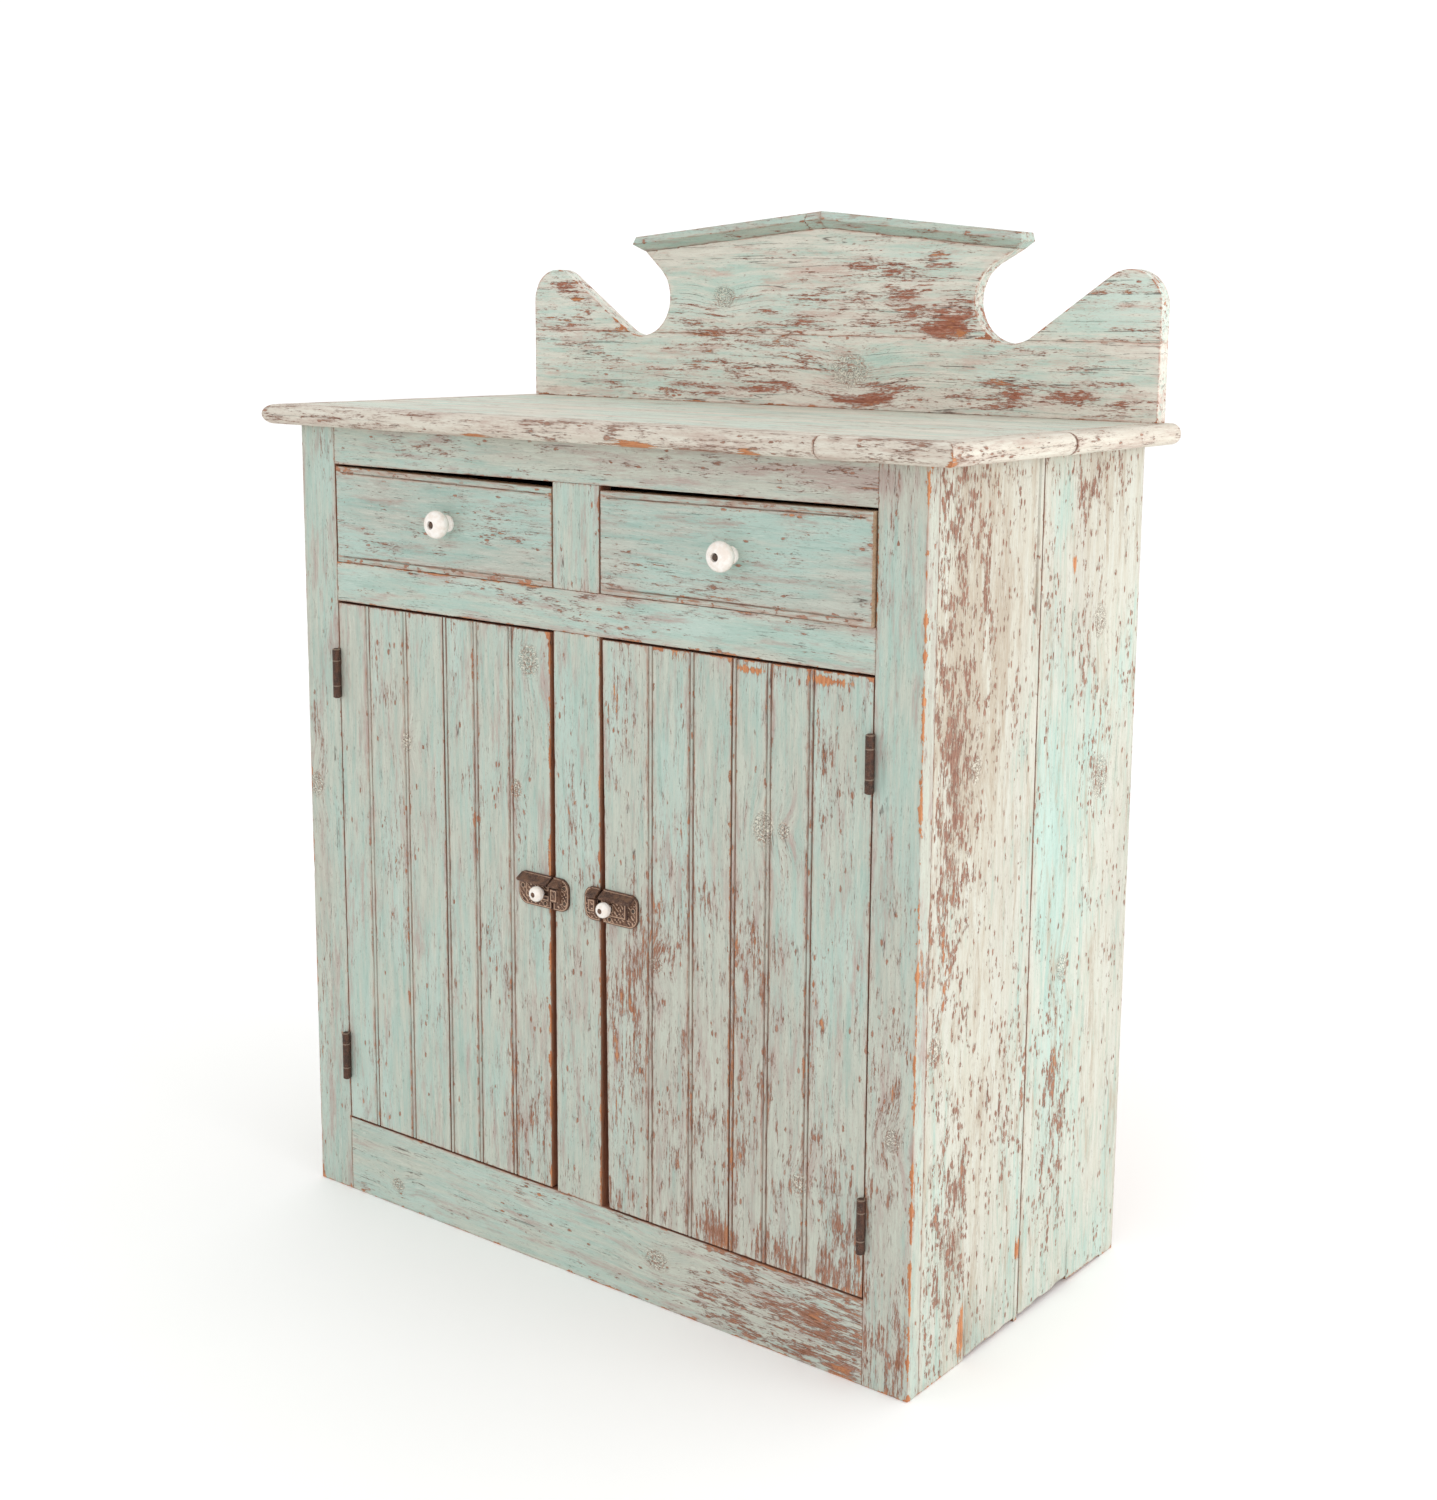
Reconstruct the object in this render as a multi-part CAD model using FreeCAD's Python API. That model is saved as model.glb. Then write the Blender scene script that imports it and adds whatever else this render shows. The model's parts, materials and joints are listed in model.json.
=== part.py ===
import FreeCAD, Part
import math
import os

# Painted pine cupboard: two drawers over two beadboard doors, with a scroll-cut splashback.
# Millimetres. X runs along the front, left to right; Y runs from front to back; Z is up.
# The origin is on the floor, under the middle of the whole object.

V = FreeCAD.Vector

# ---------------------------------------------------------------- driving dimensions

# Case
CASE_WIDTH = 965.0
CASE_DEPTH = 482.0
CASE_HEIGHT = 1036.0
FRAME_T = 22.0              # face frame and side boards
STILE_W = 61.9
BOTTOM_RAIL_TOP = 102.6
MIDDLE_RAIL_BOTTOM = 811.0
MIDDLE_RAIL_TOP = 861.8
TOP_RAIL_BOTTOM = 988.1
MULLION_LEFT = -40.6
MULLION_RIGHT = 31.9
TENON_LENGTH = 24.0
TENON_T = 8.0
RAIL_TENON_INSET = 7.0      # a tenon is narrower than its rail by this at each edge
UPRIGHT_TENON_INSET = 10.0
SIDE_JOINT = 240.0          # from the face to the joint between the two side boards
SIDE_JOINT_GAP = 1.6
TONGUE_LENGTH = 7.0
TONGUE_T = 7.0
GROOVE_SLACK = 0.5          # a groove is deeper than its tongue by this
BACK_T = 12.0
BACK_BOARDS = 5
BACK_GAP = 1.0
BACK_LIFT = 20.0            # back boards stop short of the floor

# Inside the case
BOARD_T = 18.0              # floor and shelf boards
BOARD_GAP = 0.8
FLOOR_TOP = 98.0
SHELF_TOP = 458.0
SHELF_FRONT = 22.4          # the doors stop against the shelf's front edge
BEARER_W = 28.0
BEARER_H = 20.0
RUNNER_T = 20.0
RUNNER_REACH = 22.0         # how far a runner reaches under a drawer side
GUIDE_H = 28.0
GUIDE_SLACK = 0.5

# Top and its nosing
TOP_T = 25.4
TOP_FRONT_OVERHANG = 27.7
TOP_SIDE_OVERHANG = 45.0
TOP_BACK = 486.0            # back edge of the top, measured from the face
TOP_JOINT = 235.0
NOSING_W = 32.0
NOSING_JOINT_X = 355.5      # joint in the front nosing
NOSING_JOINT_Y = 229.0      # joint in the right nosing, from the face
NOSING_GAP = 0.8

# Splashback
SPLASH_T = 21.5
SPLASH_HALF = 505.5
GLUE_LINE = 1156.0          # joint between the lower board and the pieces above it
SCOOP_X = 301.0
SCOOP_Z = 1204.0
SCOOP_R = 53.0
EAR_X = 462.0
EAR_Z = 1199.0
EAR_R = SPLASH_HALF - EAR_X
CREST_LEFT = -292.0
CREST_RIGHT = 306.0
CREST_SHOULDER = 1267.0
APEX_X = 16.0
APEX_Z = 1296.0
CAP_H = 21.0
CAP_NOSE_OUT = 13.0
CAP_NOSE_Z = 11.0
CAP_TOP_OUT = 9.0
CAP_KEY_LEFT = -8.0         # a short key piece is let in just left of the apex
CAP_GAP = 0.5

SPLASH_SCREWS = 5
SPLASH_SCREW_INSET = 60.0
SPLASH_SCREW_LENGTH = 65.0
SPLASH_SCREW_LEAN = (15.0, 37.4)    # back and up along a screw, from its head
SPLASH_SCREW_HEAD_R = 4.0
SPLASH_SCREW_SHANK_R = 2.2

# Drawers
DRAWER_SIDE_GAP = 2.2
DRAWER_LIFT = 0.4
DRAWER_FRONT_T = 20.0
DRAWER_LIP = 10.0           # front thickness left outside the let-in sides
DRAWER_SIDE_T = 12.0
DRAWER_SIDE_H = 106.0
DRAWER_DEPTH = 430.0
DRAWER_BACK_TOP = 96.0
DRAWER_BOTTOM_Z = 8.0
DRAWER_BOTTOM_T = 6.0
DRAWER_GROOVE = 5.0
SCRATCH_INSET = 6.5         # scratch bead, in from the edges of the drawer front
SCRATCH_W = 1.5
SCRATCH_DEPTH = 1.5
DRAWERS = {
    # top gaps at the front's left and right ends, and the knob's place
    "left": {"top_gaps": (3.0, 8.0), "knob": (-216.0, 926.0)},
    "right": {"top_gaps": (6.0, 3.5), "knob": (226.5, 923.0)},
}

# Doors
DOOR_T = 21.0
DOOR_BOTTOM = 105.0
DOOR_TOP = 808.0
HINGE_GAP = 1.5
FACE_JOINT_GAP = 1.0        # open joint between a door's two boards
BEAD_HALF = 2.6
QUIRK_W = 1.6
QUIRK_DEPTH = 2.4
BATTEN_T = 18.0
BATTEN_HALF_H = 42.0
BATTEN_HINGE_INSET = 16.0
BATTEN_FREE_INSET = 20.0
BATTEN_SCREW_INSET = 30.0   # from a batten's end
BATTEN_SCREW_OFF_JOINT = 40.0
BATTEN_SCREW_RISE = 22.0    # above and below a batten's middle
BATTEN_SCREW_LENGTH = 31.0
DOORS = {
    "left": {"free_top": -46.6, "free_bottom": -50.6, "joint": -228.9,
             "beads": (-366.1, -297.4, -173.0, -113.3)},
    "right": {"free_top": 36.9, "free_bottom": 44.4, "joint": 228.9,
              "beads": (109.8, 171.0, 280.8, 338.4)},
}

# Hinges
HINGE_LENGTH = 63.5
HINGE_HEIGHTS = (716.0, 192.5)
LEAF_T = 1.6
LEAF_BACK = 18.0
LEAF_SPACE = 0.3
BARREL_R = 5.0
PIN_PROUD = 6.0             # pin axis in front of the face
PIN_R = 2.4
PIN_CLEARANCE = 0.06
PIN_CAP_R = 3.2
PIN_CAP_H = 1.0
KNUCKLE_END = 15.2
KNUCKLE_GAP = 0.3
BARREL_CLEARANCE = 0.6
HINGE_SCREW_RISE = 20.0
HINGE_SCREW_LENGTH = 17.0
HINGE_SCREW_STAGGER = (-1.5, 2.0)   # outer and middle screws, from the leaf's middle line

# Catches; u runs from the catch's knob towards the mullion
CATCH_Z = 487.5
CATCH_X = {"left": -56.5, "right": 51.5}
KEEPER_EDGE = {"left": -41.3, "right": 34.5}
CATCH_INNER = 12.0
CATCH_OUTER = -42.0
CATCH_HALF_H = 20.5
CATCH_BASE_T = 3.0
CATCH_BOX_T = 7.0
CATCH_HOOD_OUT = 13.0
BOLT_NOSE = 11.8
BOLT_TAIL = -12.0
BOLT_HALF_H = 5.7
BOLT_LAYER = (1.7, 5.3)     # bolt's back and front, out from the face
POCKET_LAYER = (1.5, 5.5)
POCKET_HALF_H = 6.0
SLOT_HALF_H = 2.4
SLOT_SPAN = (-5.0, 10.2)
STEM_R = 2.0
KEEPER_W = 25.0
KEEPER_POCKET = 9.0

# Fasteners
SCREW_R = 1.6
SCREW_HEAD_R = 3.4
SCREW_HEAD_H = 1.5
KNOB_SCREW_R = 2.5
KNOB_SCREW_SLACK = 0.1
NUT_HALF = 5.0
NUT_T = 4.0
NUT_SHOWS = 3.0             # thread beyond the nut
CATCH_SCREW_LENGTH = 15.0
KNOB_REACH = 30.0

# Worked-out places
HALF = CASE_WIDTH / 2.0
FACE_Y = -(TOP_BACK - KNOB_REACH) / 2.0
STILE_LEFT_IN = -HALF + STILE_W
STILE_RIGHT_IN = HALF - STILE_W
SIDE_IN = HALF - FRAME_T
BACK_FRONT = CASE_DEPTH - BACK_T
TOP_SURFACE = CASE_HEIGHT + TOP_T
SPLASH_FRONT = TOP_BACK - SPLASH_T


# ---------------------------------------------------------------- building helpers

def box(x0, x1, y0, y1, z0, z1):
    """A box; y is measured from the front face of the case."""
    return Part.makeBox(x1 - x0, y1 - y0, z1 - z0, V(x0, FACE_Y + y0, z0))


def in_plan(z):
    return lambda p: V(p[0], FACE_Y + p[1], z)


def in_front(y):
    return lambda p: V(p[0], FACE_Y + y, p[1])


def in_side(x):
    return lambda p: V(x, FACE_Y + p[0], p[1])


class Outline:
    """A closed outline of lines and arcs, drawn in one plane."""

    def __init__(self, start, place):
        self.start = start
        self.last = start
        self.place = place
        self.edges = []

    def line(self, *points):
        for point in points:
            self.edges.append(Part.makeLine(self.place(self.last), self.place(point)))
            self.last = point
        return self

    def arc(self, middle, end):
        places = [self.place(p) for p in (self.last, middle, end)]
        self.edges.append(Part.Arc(*places).toShape())
        self.last = end
        return self

    def solid(self, depth):
        if self.last != self.start:
            self.line(self.start)
        return Part.Face(Part.Wire(self.edges)).extrude(depth)


def prism(points, place, depth):
    return Outline(points[0], place).line(*points[1:]).solid(depth)


def without(solid, others):
    """The solid with room cut for whatever is let into it."""
    for other in others:
        solid = solid.cut(other)
    return solid


def group(solids):
    return Part.makeCompound(solids)


def mirrored(shape):
    return shape.mirror(V(0, 0, 0), V(1, 0, 0))


def moved(shape, x, y, z):
    copy = shape.copy()
    copy.translate(V(x, y, z))
    return copy


def turned(points, axis_point, axis):
    """A turned solid from (radius, height) points; four numbers are an arc's middle and end."""
    place = lambda p: V(p[0], 0, p[1])
    outline = Outline(points[0], place)
    for point in points[1:]:
        if len(point) == 4:
            outline.arc(point[:2], point[2:])
        else:
            outline.line(point)
    if outline.last != outline.start:
        outline.line(outline.start)
    solid = Part.Face(Part.Wire(outline.edges)).revolve(V(0, 0, 0), V(0, 0, 1), 360)
    solid.Placement = FreeCAD.Placement(axis_point, FreeCAD.Rotation(V(0, 0, 1), axis))
    return solid


def on_circle(centre, radius, degrees):
    angle = math.radians(degrees)
    return (centre[0] + radius * math.cos(angle), centre[1] + radius * math.sin(angle))


def angle_of(centre, point):
    return math.degrees(math.atan2(point[1] - centre[1], point[0] - centre[0]))


# ---------------------------------------------------------------- screws and knobs

def wood_screw(point, axis, length, head_r=SCREW_HEAD_R, shank_r=SCREW_R):
    """A countersunk screw: point is the middle of its head's flat face."""
    profile = [(0, 0), (head_r, 0), (shank_r, SCREW_HEAD_H), (shank_r, length - 2.0),
               (0, length)]
    return turned(profile, point, axis)


def round_screw(point, axis, length):
    """A round-headed screw: point is where its head meets the surface."""
    head_r, head_h, shank_r = 2.8, 1.6, 1.3
    profile = [(0, -head_h), (head_r * 0.75, -head_h * 0.7, head_r, 0), (shank_r, 0),
               (shank_r, length - 2.0), (0, length)]
    return turned(profile, point, axis)


def drawer_knob(x, z):
    """A turned porcelain knob with a flange, a neck and a recess for its screw."""
    bore = KNOB_SCREW_R + KNOB_SCREW_SLACK
    profile = [(bore, 0), (10.5, 0), (10.5, 2.2), (8.0, 4.6, 7.4, 7.6),
               (13.0, 10.6, 17.2, 17.6), (16.4, 24.0, 11.0, 28.2),
               (8.0, 29.5, 5.2, KNOB_REACH), (4.6, 27.4), (bore, 27.4)]
    return turned(profile, V(x, FACE_Y, z), V(0, -1, 0))


def knob_screw(x, z):
    """The knob's bolt, from its recessed head to the square nut behind the drawer front."""
    head_r = 4.4
    tail = -DRAWER_FRONT_T - NUT_T - NUT_SHOWS
    profile = [(0, 29.4), (3.2, 29.0, head_r, 27.4), (KNOB_SCREW_R, 27.4), (KNOB_SCREW_R, tail),
               (0, tail)]
    bolt = turned(profile, V(x, FACE_Y, z), V(0, -1, 0))
    nut = box(x - NUT_HALF, x + NUT_HALF, DRAWER_FRONT_T, DRAWER_FRONT_T + NUT_T,
              z - NUT_HALF, z + NUT_HALF)
    return bolt, nut.cut(bolt)


# ---------------------------------------------------------------- case

def face_frame():
    """Stiles run full height; rails are tenoned into them, uprights into the rails."""
    tenon_y = ((FRAME_T - TENON_T) / 2.0, (FRAME_T + TENON_T) / 2.0)

    def rail(z0, z1):
        body = box(STILE_LEFT_IN, STILE_RIGHT_IN, 0, FRAME_T, z0, z1)
        tenon = box(STILE_LEFT_IN - TENON_LENGTH, STILE_RIGHT_IN + TENON_LENGTH,
                    tenon_y[0], tenon_y[1], z0 + RAIL_TENON_INSET, z1 - RAIL_TENON_INSET)
        return body.fuse(tenon).removeSplitter()

    def upright(z0, z1):
        body = box(MULLION_LEFT, MULLION_RIGHT, 0, FRAME_T, z0, z1)
        tenon = box(MULLION_LEFT + UPRIGHT_TENON_INSET, MULLION_RIGHT - UPRIGHT_TENON_INSET,
                    tenon_y[0], tenon_y[1], z0 - TENON_LENGTH, z1 + TENON_LENGTH)
        return body.fuse(tenon).removeSplitter()

    muntin = upright(MIDDLE_RAIL_TOP, TOP_RAIL_BOTTOM)
    mullion = upright(BOTTOM_RAIL_TOP, MIDDLE_RAIL_BOTTOM)
    rails = {
        "rail_top": rail(TOP_RAIL_BOTTOM, CASE_HEIGHT),
        "rail_middle": rail(MIDDLE_RAIL_BOTTOM, MIDDLE_RAIL_TOP),
        "rail_bottom": rail(0, BOTTOM_RAIL_TOP),
    }
    parts = {name: without(solid, [muntin, mullion]) for name, solid in rails.items()}
    parts["drawer_muntin"] = muntin
    parts["door_mullion"] = mullion
    left = box(-HALF, STILE_LEFT_IN, 0, FRAME_T, 0, CASE_HEIGHT)
    right = box(STILE_RIGHT_IN, HALF, 0, FRAME_T, 0, CASE_HEIGHT)
    parts["stile_left"] = without(left, rails.values())
    parts["stile_right"] = without(right, rails.values())
    return parts


def side_boards():
    """Each side is two upright boards, tongued together, rebated for the back."""
    middle = (-SIDE_IN - HALF) / 2.0
    tongue = box(middle - TONGUE_T / 2, middle + TONGUE_T / 2, SIDE_JOINT - SIDE_JOINT_GAP,
                 SIDE_JOINT + TONGUE_LENGTH, 0, CASE_HEIGHT)
    groove = box(middle - TONGUE_T / 2, middle + TONGUE_T / 2, SIDE_JOINT,
                 SIDE_JOINT + TONGUE_LENGTH + GROOVE_SLACK, 0, CASE_HEIGHT)
    front = box(-HALF, -SIDE_IN, FRAME_T, SIDE_JOINT - SIDE_JOINT_GAP / 2, 0, CASE_HEIGHT)
    front = front.fuse(tongue).removeSplitter()
    rear = box(-HALF, -SIDE_IN, SIDE_JOINT + SIDE_JOINT_GAP / 2, CASE_DEPTH, 0, CASE_HEIGHT)
    rebate = box(-SIDE_IN - BACK_T, -SIDE_IN, BACK_FRONT, CASE_DEPTH, 0, CASE_HEIGHT)
    rear = without(rear, [groove, rebate])
    return {
        "side_left_front_board": front,
        "side_left_rear_board": rear,
        "side_right_front_board": mirrored(front),
        "side_right_rear_board": mirrored(rear),
    }


def back_boards():
    start = -SIDE_IN - BACK_T
    pitch = -2.0 * start / BACK_BOARDS
    return group([
        box(start + i * pitch + BACK_GAP / 2, start + (i + 1) * pitch - BACK_GAP / 2,
            BACK_FRONT, CASE_DEPTH, BACK_LIFT, CASE_HEIGHT)
        for i in range(BACK_BOARDS)
    ])


def level_boards(top, front):
    """Two boards side by side, resting on the bearers."""
    middle = (front + BACK_FRONT) / 2.0
    spans = ((front, middle - BOARD_GAP / 2), (middle + BOARD_GAP / 2, BACK_FRONT))
    return group([box(-SIDE_IN, SIDE_IN, y0, y1, top - BOARD_T, top) for y0, y1 in spans])


def bearers():
    """Bearers under the floor and the shelf, and the kicker over the drawers."""
    solids = []
    for top in (FLOOR_TOP - BOARD_T, SHELF_TOP - BOARD_T):
        left = box(-SIDE_IN, -SIDE_IN + BEARER_W, FRAME_T, BACK_FRONT, top - BEARER_H, top)
        solids += [left, mirrored(left)]
    solids.append(box(MULLION_LEFT - RUNNER_REACH, MULLION_RIGHT + RUNNER_REACH, FRAME_T,
                      BACK_FRONT, TOP_RAIL_BOTTOM, TOP_RAIL_BOTTOM + BEARER_H))
    return group(solids)


def drawer_runners():
    """Rebated runners: a ledge under each drawer side and a guide beside it."""
    z0 = MIDDLE_RAIL_TOP - RUNNER_T
    z1 = MIDDLE_RAIL_TOP
    z2 = MIDDLE_RAIL_TOP + GUIDE_H
    back = V(0, BACK_FRONT - FRAME_T, 0)
    left_guide = STILE_LEFT_IN - GUIDE_SLACK
    right_guide = STILE_RIGHT_IN + GUIDE_SLACK
    left_ledge = STILE_LEFT_IN + RUNNER_REACH
    right_ledge = STILE_RIGHT_IN - RUNNER_REACH
    left = [(-SIDE_IN, z0), (left_ledge, z0), (left_ledge, z1), (left_guide, z1),
            (left_guide, z2), (-SIDE_IN, z2)]
    right = [(SIDE_IN, z0), (right_ledge, z0), (right_ledge, z1), (right_guide, z1),
             (right_guide, z2), (SIDE_IN, z2)]
    ledges = (MULLION_LEFT - RUNNER_REACH, MULLION_RIGHT + RUNNER_REACH)
    guides = (MULLION_LEFT + GUIDE_SLACK, MULLION_RIGHT - GUIDE_SLACK)
    centre = [(ledges[0], z0), (ledges[1], z0), (ledges[1], z1), (guides[1], z1),
              (guides[1], z2), (guides[0], z2), (guides[0], z1), (ledges[0], z1)]
    return group([prism(points, in_front(FRAME_T), back) for points in (left, centre, right)])


# ---------------------------------------------------------------- top and splashback

def top_parts():
    """Two boards, framed on three edges by a round-nosed strip mitred at the corners."""
    half = HALF + TOP_SIDE_OVERHANG
    front = -TOP_FRONT_OVERHANG
    inner_x = half - NOSING_W
    inner_y = front + NOSING_W
    radius = TOP_T / 2.0
    middle = CASE_HEIGHT + radius
    up = V(0, 0, TOP_T)

    nose = Outline((inner_y, CASE_HEIGHT), in_side(-half))
    nose.line((front + radius, CASE_HEIGHT))
    nose.arc((front, middle), (front + radius, TOP_SURFACE))
    nose.line((inner_y, TOP_SURFACE))
    front_run = nose.solid(V(2 * half, 0, 0))
    mitre = [(-half, front), (half, front), (inner_x, inner_y), (-inner_x, inner_y)]
    front_run = front_run.common(prism(mitre, in_plan(CASE_HEIGHT), up))
    cut = box(NOSING_JOINT_X - NOSING_GAP / 2, NOSING_JOINT_X + NOSING_GAP / 2, front,
              inner_y, CASE_HEIGHT, TOP_SURFACE)

    nose = Outline((inner_x, CASE_HEIGHT), in_front(front))
    nose.line((half - radius, CASE_HEIGHT))
    nose.arc((half, middle), (half - radius, TOP_SURFACE))
    nose.line((inner_x, TOP_SURFACE))
    right_run = nose.solid(V(0, TOP_BACK - front, 0))
    mitre = [(half, front), (half, TOP_BACK), (inner_x, TOP_BACK), (inner_x, inner_y)]
    right_run = right_run.common(prism(mitre, in_plan(CASE_HEIGHT), up))
    right_cut = box(inner_x, half, NOSING_JOINT_Y - NOSING_GAP / 2,
                    NOSING_JOINT_Y + NOSING_GAP / 2, CASE_HEIGHT, TOP_SURFACE)
    return {
        "top_nosing_front": group(front_run.cut(cut).Solids),
        "top_nosing_right": group(right_run.cut(right_cut).Solids),
        "top_nosing_left": mirrored(right_run),
        "top_front_board": box(-inner_x, inner_x, inner_y, TOP_JOINT, CASE_HEIGHT, TOP_SURFACE),
        "top_rear_board": box(-inner_x, inner_x, TOP_JOINT, TOP_BACK, CASE_HEIGHT, TOP_SURFACE),
    }


def scroll(side):
    """Points where one side's scoop, slope and ear meet, for side -1 or 1."""
    scoop = (SCOOP_X, SCOOP_Z)
    ear = (EAR_X, EAR_Z)
    span = math.hypot(ear[0] - scoop[0], ear[1] - scoop[1])
    lean = angle_of(scoop, ear)
    swing = math.degrees(math.acos((SCOOP_R + EAR_R) / span))
    crest_x = CREST_RIGHT if side > 0 else -CREST_LEFT
    corner = (crest_x, CREST_SHOULDER)
    reach = math.hypot(corner[0] - scoop[0], corner[1] - scoop[1])
    flare = angle_of(scoop, corner) + math.degrees(math.acos(SCOOP_R / reach))
    dip = math.degrees(math.asin((GLUE_LINE - SCOOP_Z) / SCOOP_R))
    angles = {"flare": flare, "waist": 180.0 - dip, "slope": lean - swing, "dip": 360.0 + dip}
    points = {key: on_circle(scoop, SCOOP_R, angle) for key, angle in angles.items()}
    points["corner"] = corner
    points["flare_middle"] = on_circle(scoop, SCOOP_R, (flare + 180.0 - dip) / 2.0)
    points["dip_middle"] = on_circle(scoop, SCOOP_R, -90.0)
    points["rise_middle"] = on_circle(scoop, SCOOP_R, (dip + lean - swing) / 2.0)
    points["ear_start"] = on_circle(ear, EAR_R, lean - swing + 180.0)
    points["ear_middle"] = on_circle(ear, EAR_R, (lean - swing + 180.0) / 2.0)
    points["ear_end"] = (SPLASH_HALF, EAR_Z)
    return {key: (side * x, z) for key, (x, z) in points.items()}


def splash_parts():
    back = V(0, SPLASH_T, 0)
    left = scroll(-1)
    right = scroll(1)
    place = in_front(SPLASH_FRONT)

    lower = Outline((-SPLASH_HALF, TOP_SURFACE), place)
    lower.line((SPLASH_HALF, TOP_SURFACE), (SPLASH_HALF, GLUE_LINE), right["dip"])
    lower.arc(right["dip_middle"], right["waist"])
    lower.line(left["waist"])
    lower.arc(left["dip_middle"], left["dip"])
    lower.line((-SPLASH_HALF, GLUE_LINE))

    crest = Outline(left["waist"], place)
    crest.line(right["waist"])
    crest.arc(right["flare_middle"], right["flare"])
    crest.line(right["corner"], (APEX_X, APEX_Z), left["corner"], left["flare"])
    crest.arc(left["flare_middle"], left["waist"])

    parts = {"splash_lower_board": lower.solid(back), "splash_crest": crest.solid(back)}
    for name, points, edge in (("left", left, -SPLASH_HALF), ("right", right, SPLASH_HALF)):
        ear = Outline(points["dip"], place)
        ear.arc(points["rise_middle"], points["slope"])
        ear.line(points["ear_start"])
        ear.arc(points["ear_middle"], points["ear_end"])
        ear.line((edge, GLUE_LINE))
        parts["splash_ear_" + name] = ear.solid(back)
    return parts


def cap_run(corner_x):
    """One sloping length of cap moulding, nosed at the front and at its outer end."""
    run = abs(APEX_X - corner_x)
    slope = math.degrees(math.atan2(APEX_Z - CREST_SHOULDER, run))
    length = run + 2 * CAP_H
    across = [(SPLASH_T, 0), (0, 0), (-CAP_NOSE_OUT, CAP_NOSE_Z), (-CAP_TOP_OUT, CAP_H),
              (SPLASH_T, CAP_H)]
    along = [(0, 0), (-CAP_NOSE_OUT, CAP_NOSE_Z), (-CAP_TOP_OUT, CAP_H), (length, CAP_H),
             (length, 0)]
    bar = prism(across, lambda p: V(-CAP_NOSE_OUT, p[0], p[1]), V(length + CAP_NOSE_OUT, 0, 0))
    end = prism(along, lambda p: V(p[0], -CAP_NOSE_OUT, p[1]), V(0, SPLASH_T + CAP_NOSE_OUT, 0))
    strip = bar.common(end)
    strip.rotate(V(0, 0, 0), V(0, 1, 0), -slope)
    if corner_x > APEX_X:
        strip = mirrored(strip)
    strip = moved(strip, corner_x, FACE_Y + SPLASH_FRONT, CREST_SHOULDER)
    reach = 2 * SPLASH_HALF
    low, high = (-reach, APEX_X) if corner_x < APEX_X else (APEX_X, reach)
    keep = box(low, high, 0, 2 * TOP_BACK, CREST_SHOULDER - CAP_H, APEX_Z + 3 * CAP_H)
    return strip.common(keep)


def cap_parts():
    left = cap_run(CREST_LEFT)
    cut = box(CAP_KEY_LEFT - CAP_GAP, CAP_KEY_LEFT, 0, 2 * TOP_BACK, CREST_SHOULDER,
              APEX_Z + 3 * CAP_H)
    return {"splash_cap_left": group(left.cut(cut).Solids), "splash_cap_right": cap_run(CREST_RIGHT)}


def splash_screws():
    """Long screws, leaning back up through the top into the splashback's lower edge."""
    start = -SPLASH_HALF + SPLASH_SCREW_INSET
    pitch = -2.0 * start / (SPLASH_SCREWS - 1)
    back, up = SPLASH_SCREW_LEAN
    y = SPLASH_FRONT + SPLASH_T / 2.0 - back
    return [wood_screw(V(start + i * pitch, FACE_Y + y, CASE_HEIGHT), V(0, back, up),
                       SPLASH_SCREW_LENGTH, SPLASH_SCREW_HEAD_R, SPLASH_SCREW_SHANK_R)
            for i in range(SPLASH_SCREWS)]


# ---------------------------------------------------------------- hinges

def hinge():
    """A left-hand hinge about its own origin: gap's middle at the face, door towards +X."""
    pin_axis = V(0, -PIN_PROUD, 0)
    half = HINGE_LENGTH / 2.0
    frame_spans = ((half - KNUCKLE_END, half), (-half, -half + KNUCKLE_END))
    door_spans = ((-half + KNUCKLE_END + KNUCKLE_GAP, half - KNUCKLE_END - KNUCKLE_GAP),)
    inner = LEAF_SPACE / 2.0

    def knuckle(span, bore):
        height = span[1] - span[0]
        start = pin_axis + V(0, 0, span[0])
        return Part.makeCylinder(BARREL_R, height, start), Part.makeCylinder(bore, height, start)

    def leaf(spans, sign, bore):
        plate_front = -PIN_PROUD + BARREL_R + BARREL_CLEARANCE
        x0 = inner if sign > 0 else -inner - LEAF_T
        plate = Part.makeBox(LEAF_T, LEAF_BACK - plate_front, HINGE_LENGTH,
                             V(x0, plate_front, -half))
        for span in spans:
            root_front = -PIN_PROUD + (BARREL_R + PIN_R) / 2.0
            root = Part.makeBox(LEAF_T, plate_front - root_front, span[1] - span[0],
                                V(x0, root_front, span[0]))
            tube, hole = knuckle(span, bore)
            plate = plate.fuse([root, tube.cut(hole)])
        return plate.removeSplitter()

    def screws(sign):
        middle = (LEAF_BACK + BARREL_CLEARANCE) / 2.0
        outer, central = (middle + shift for shift in HINGE_SCREW_STAGGER)
        places = ((HINGE_SCREW_RISE, outer), (0.0, central), (-HINGE_SCREW_RISE, outer))
        return [wood_screw(V(sign * inner, y, z), V(sign, 0, 0), HINGE_SCREW_LENGTH)
                for z, y in places]

    frame_leaf = leaf(frame_spans, -1, PIN_R)
    door_leaf = leaf(door_spans, 1, PIN_R + PIN_CLEARANCE)
    pin = Part.makeCylinder(PIN_R, HINGE_LENGTH, pin_axis - V(0, 0, half))
    for z in (-half - PIN_CAP_H, half):
        pin = pin.fuse(Part.makeCylinder(PIN_CAP_R, PIN_CAP_H, pin_axis + V(0, 0, z)))
    return {
        "frame_screws": screws(-1),
        "door_screws": screws(1),
        "frame_leaf": without(frame_leaf, screws(-1)),
        "door_leaf": without(door_leaf, screws(1)),
        "pin": pin.removeSplitter(),
    }


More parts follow.
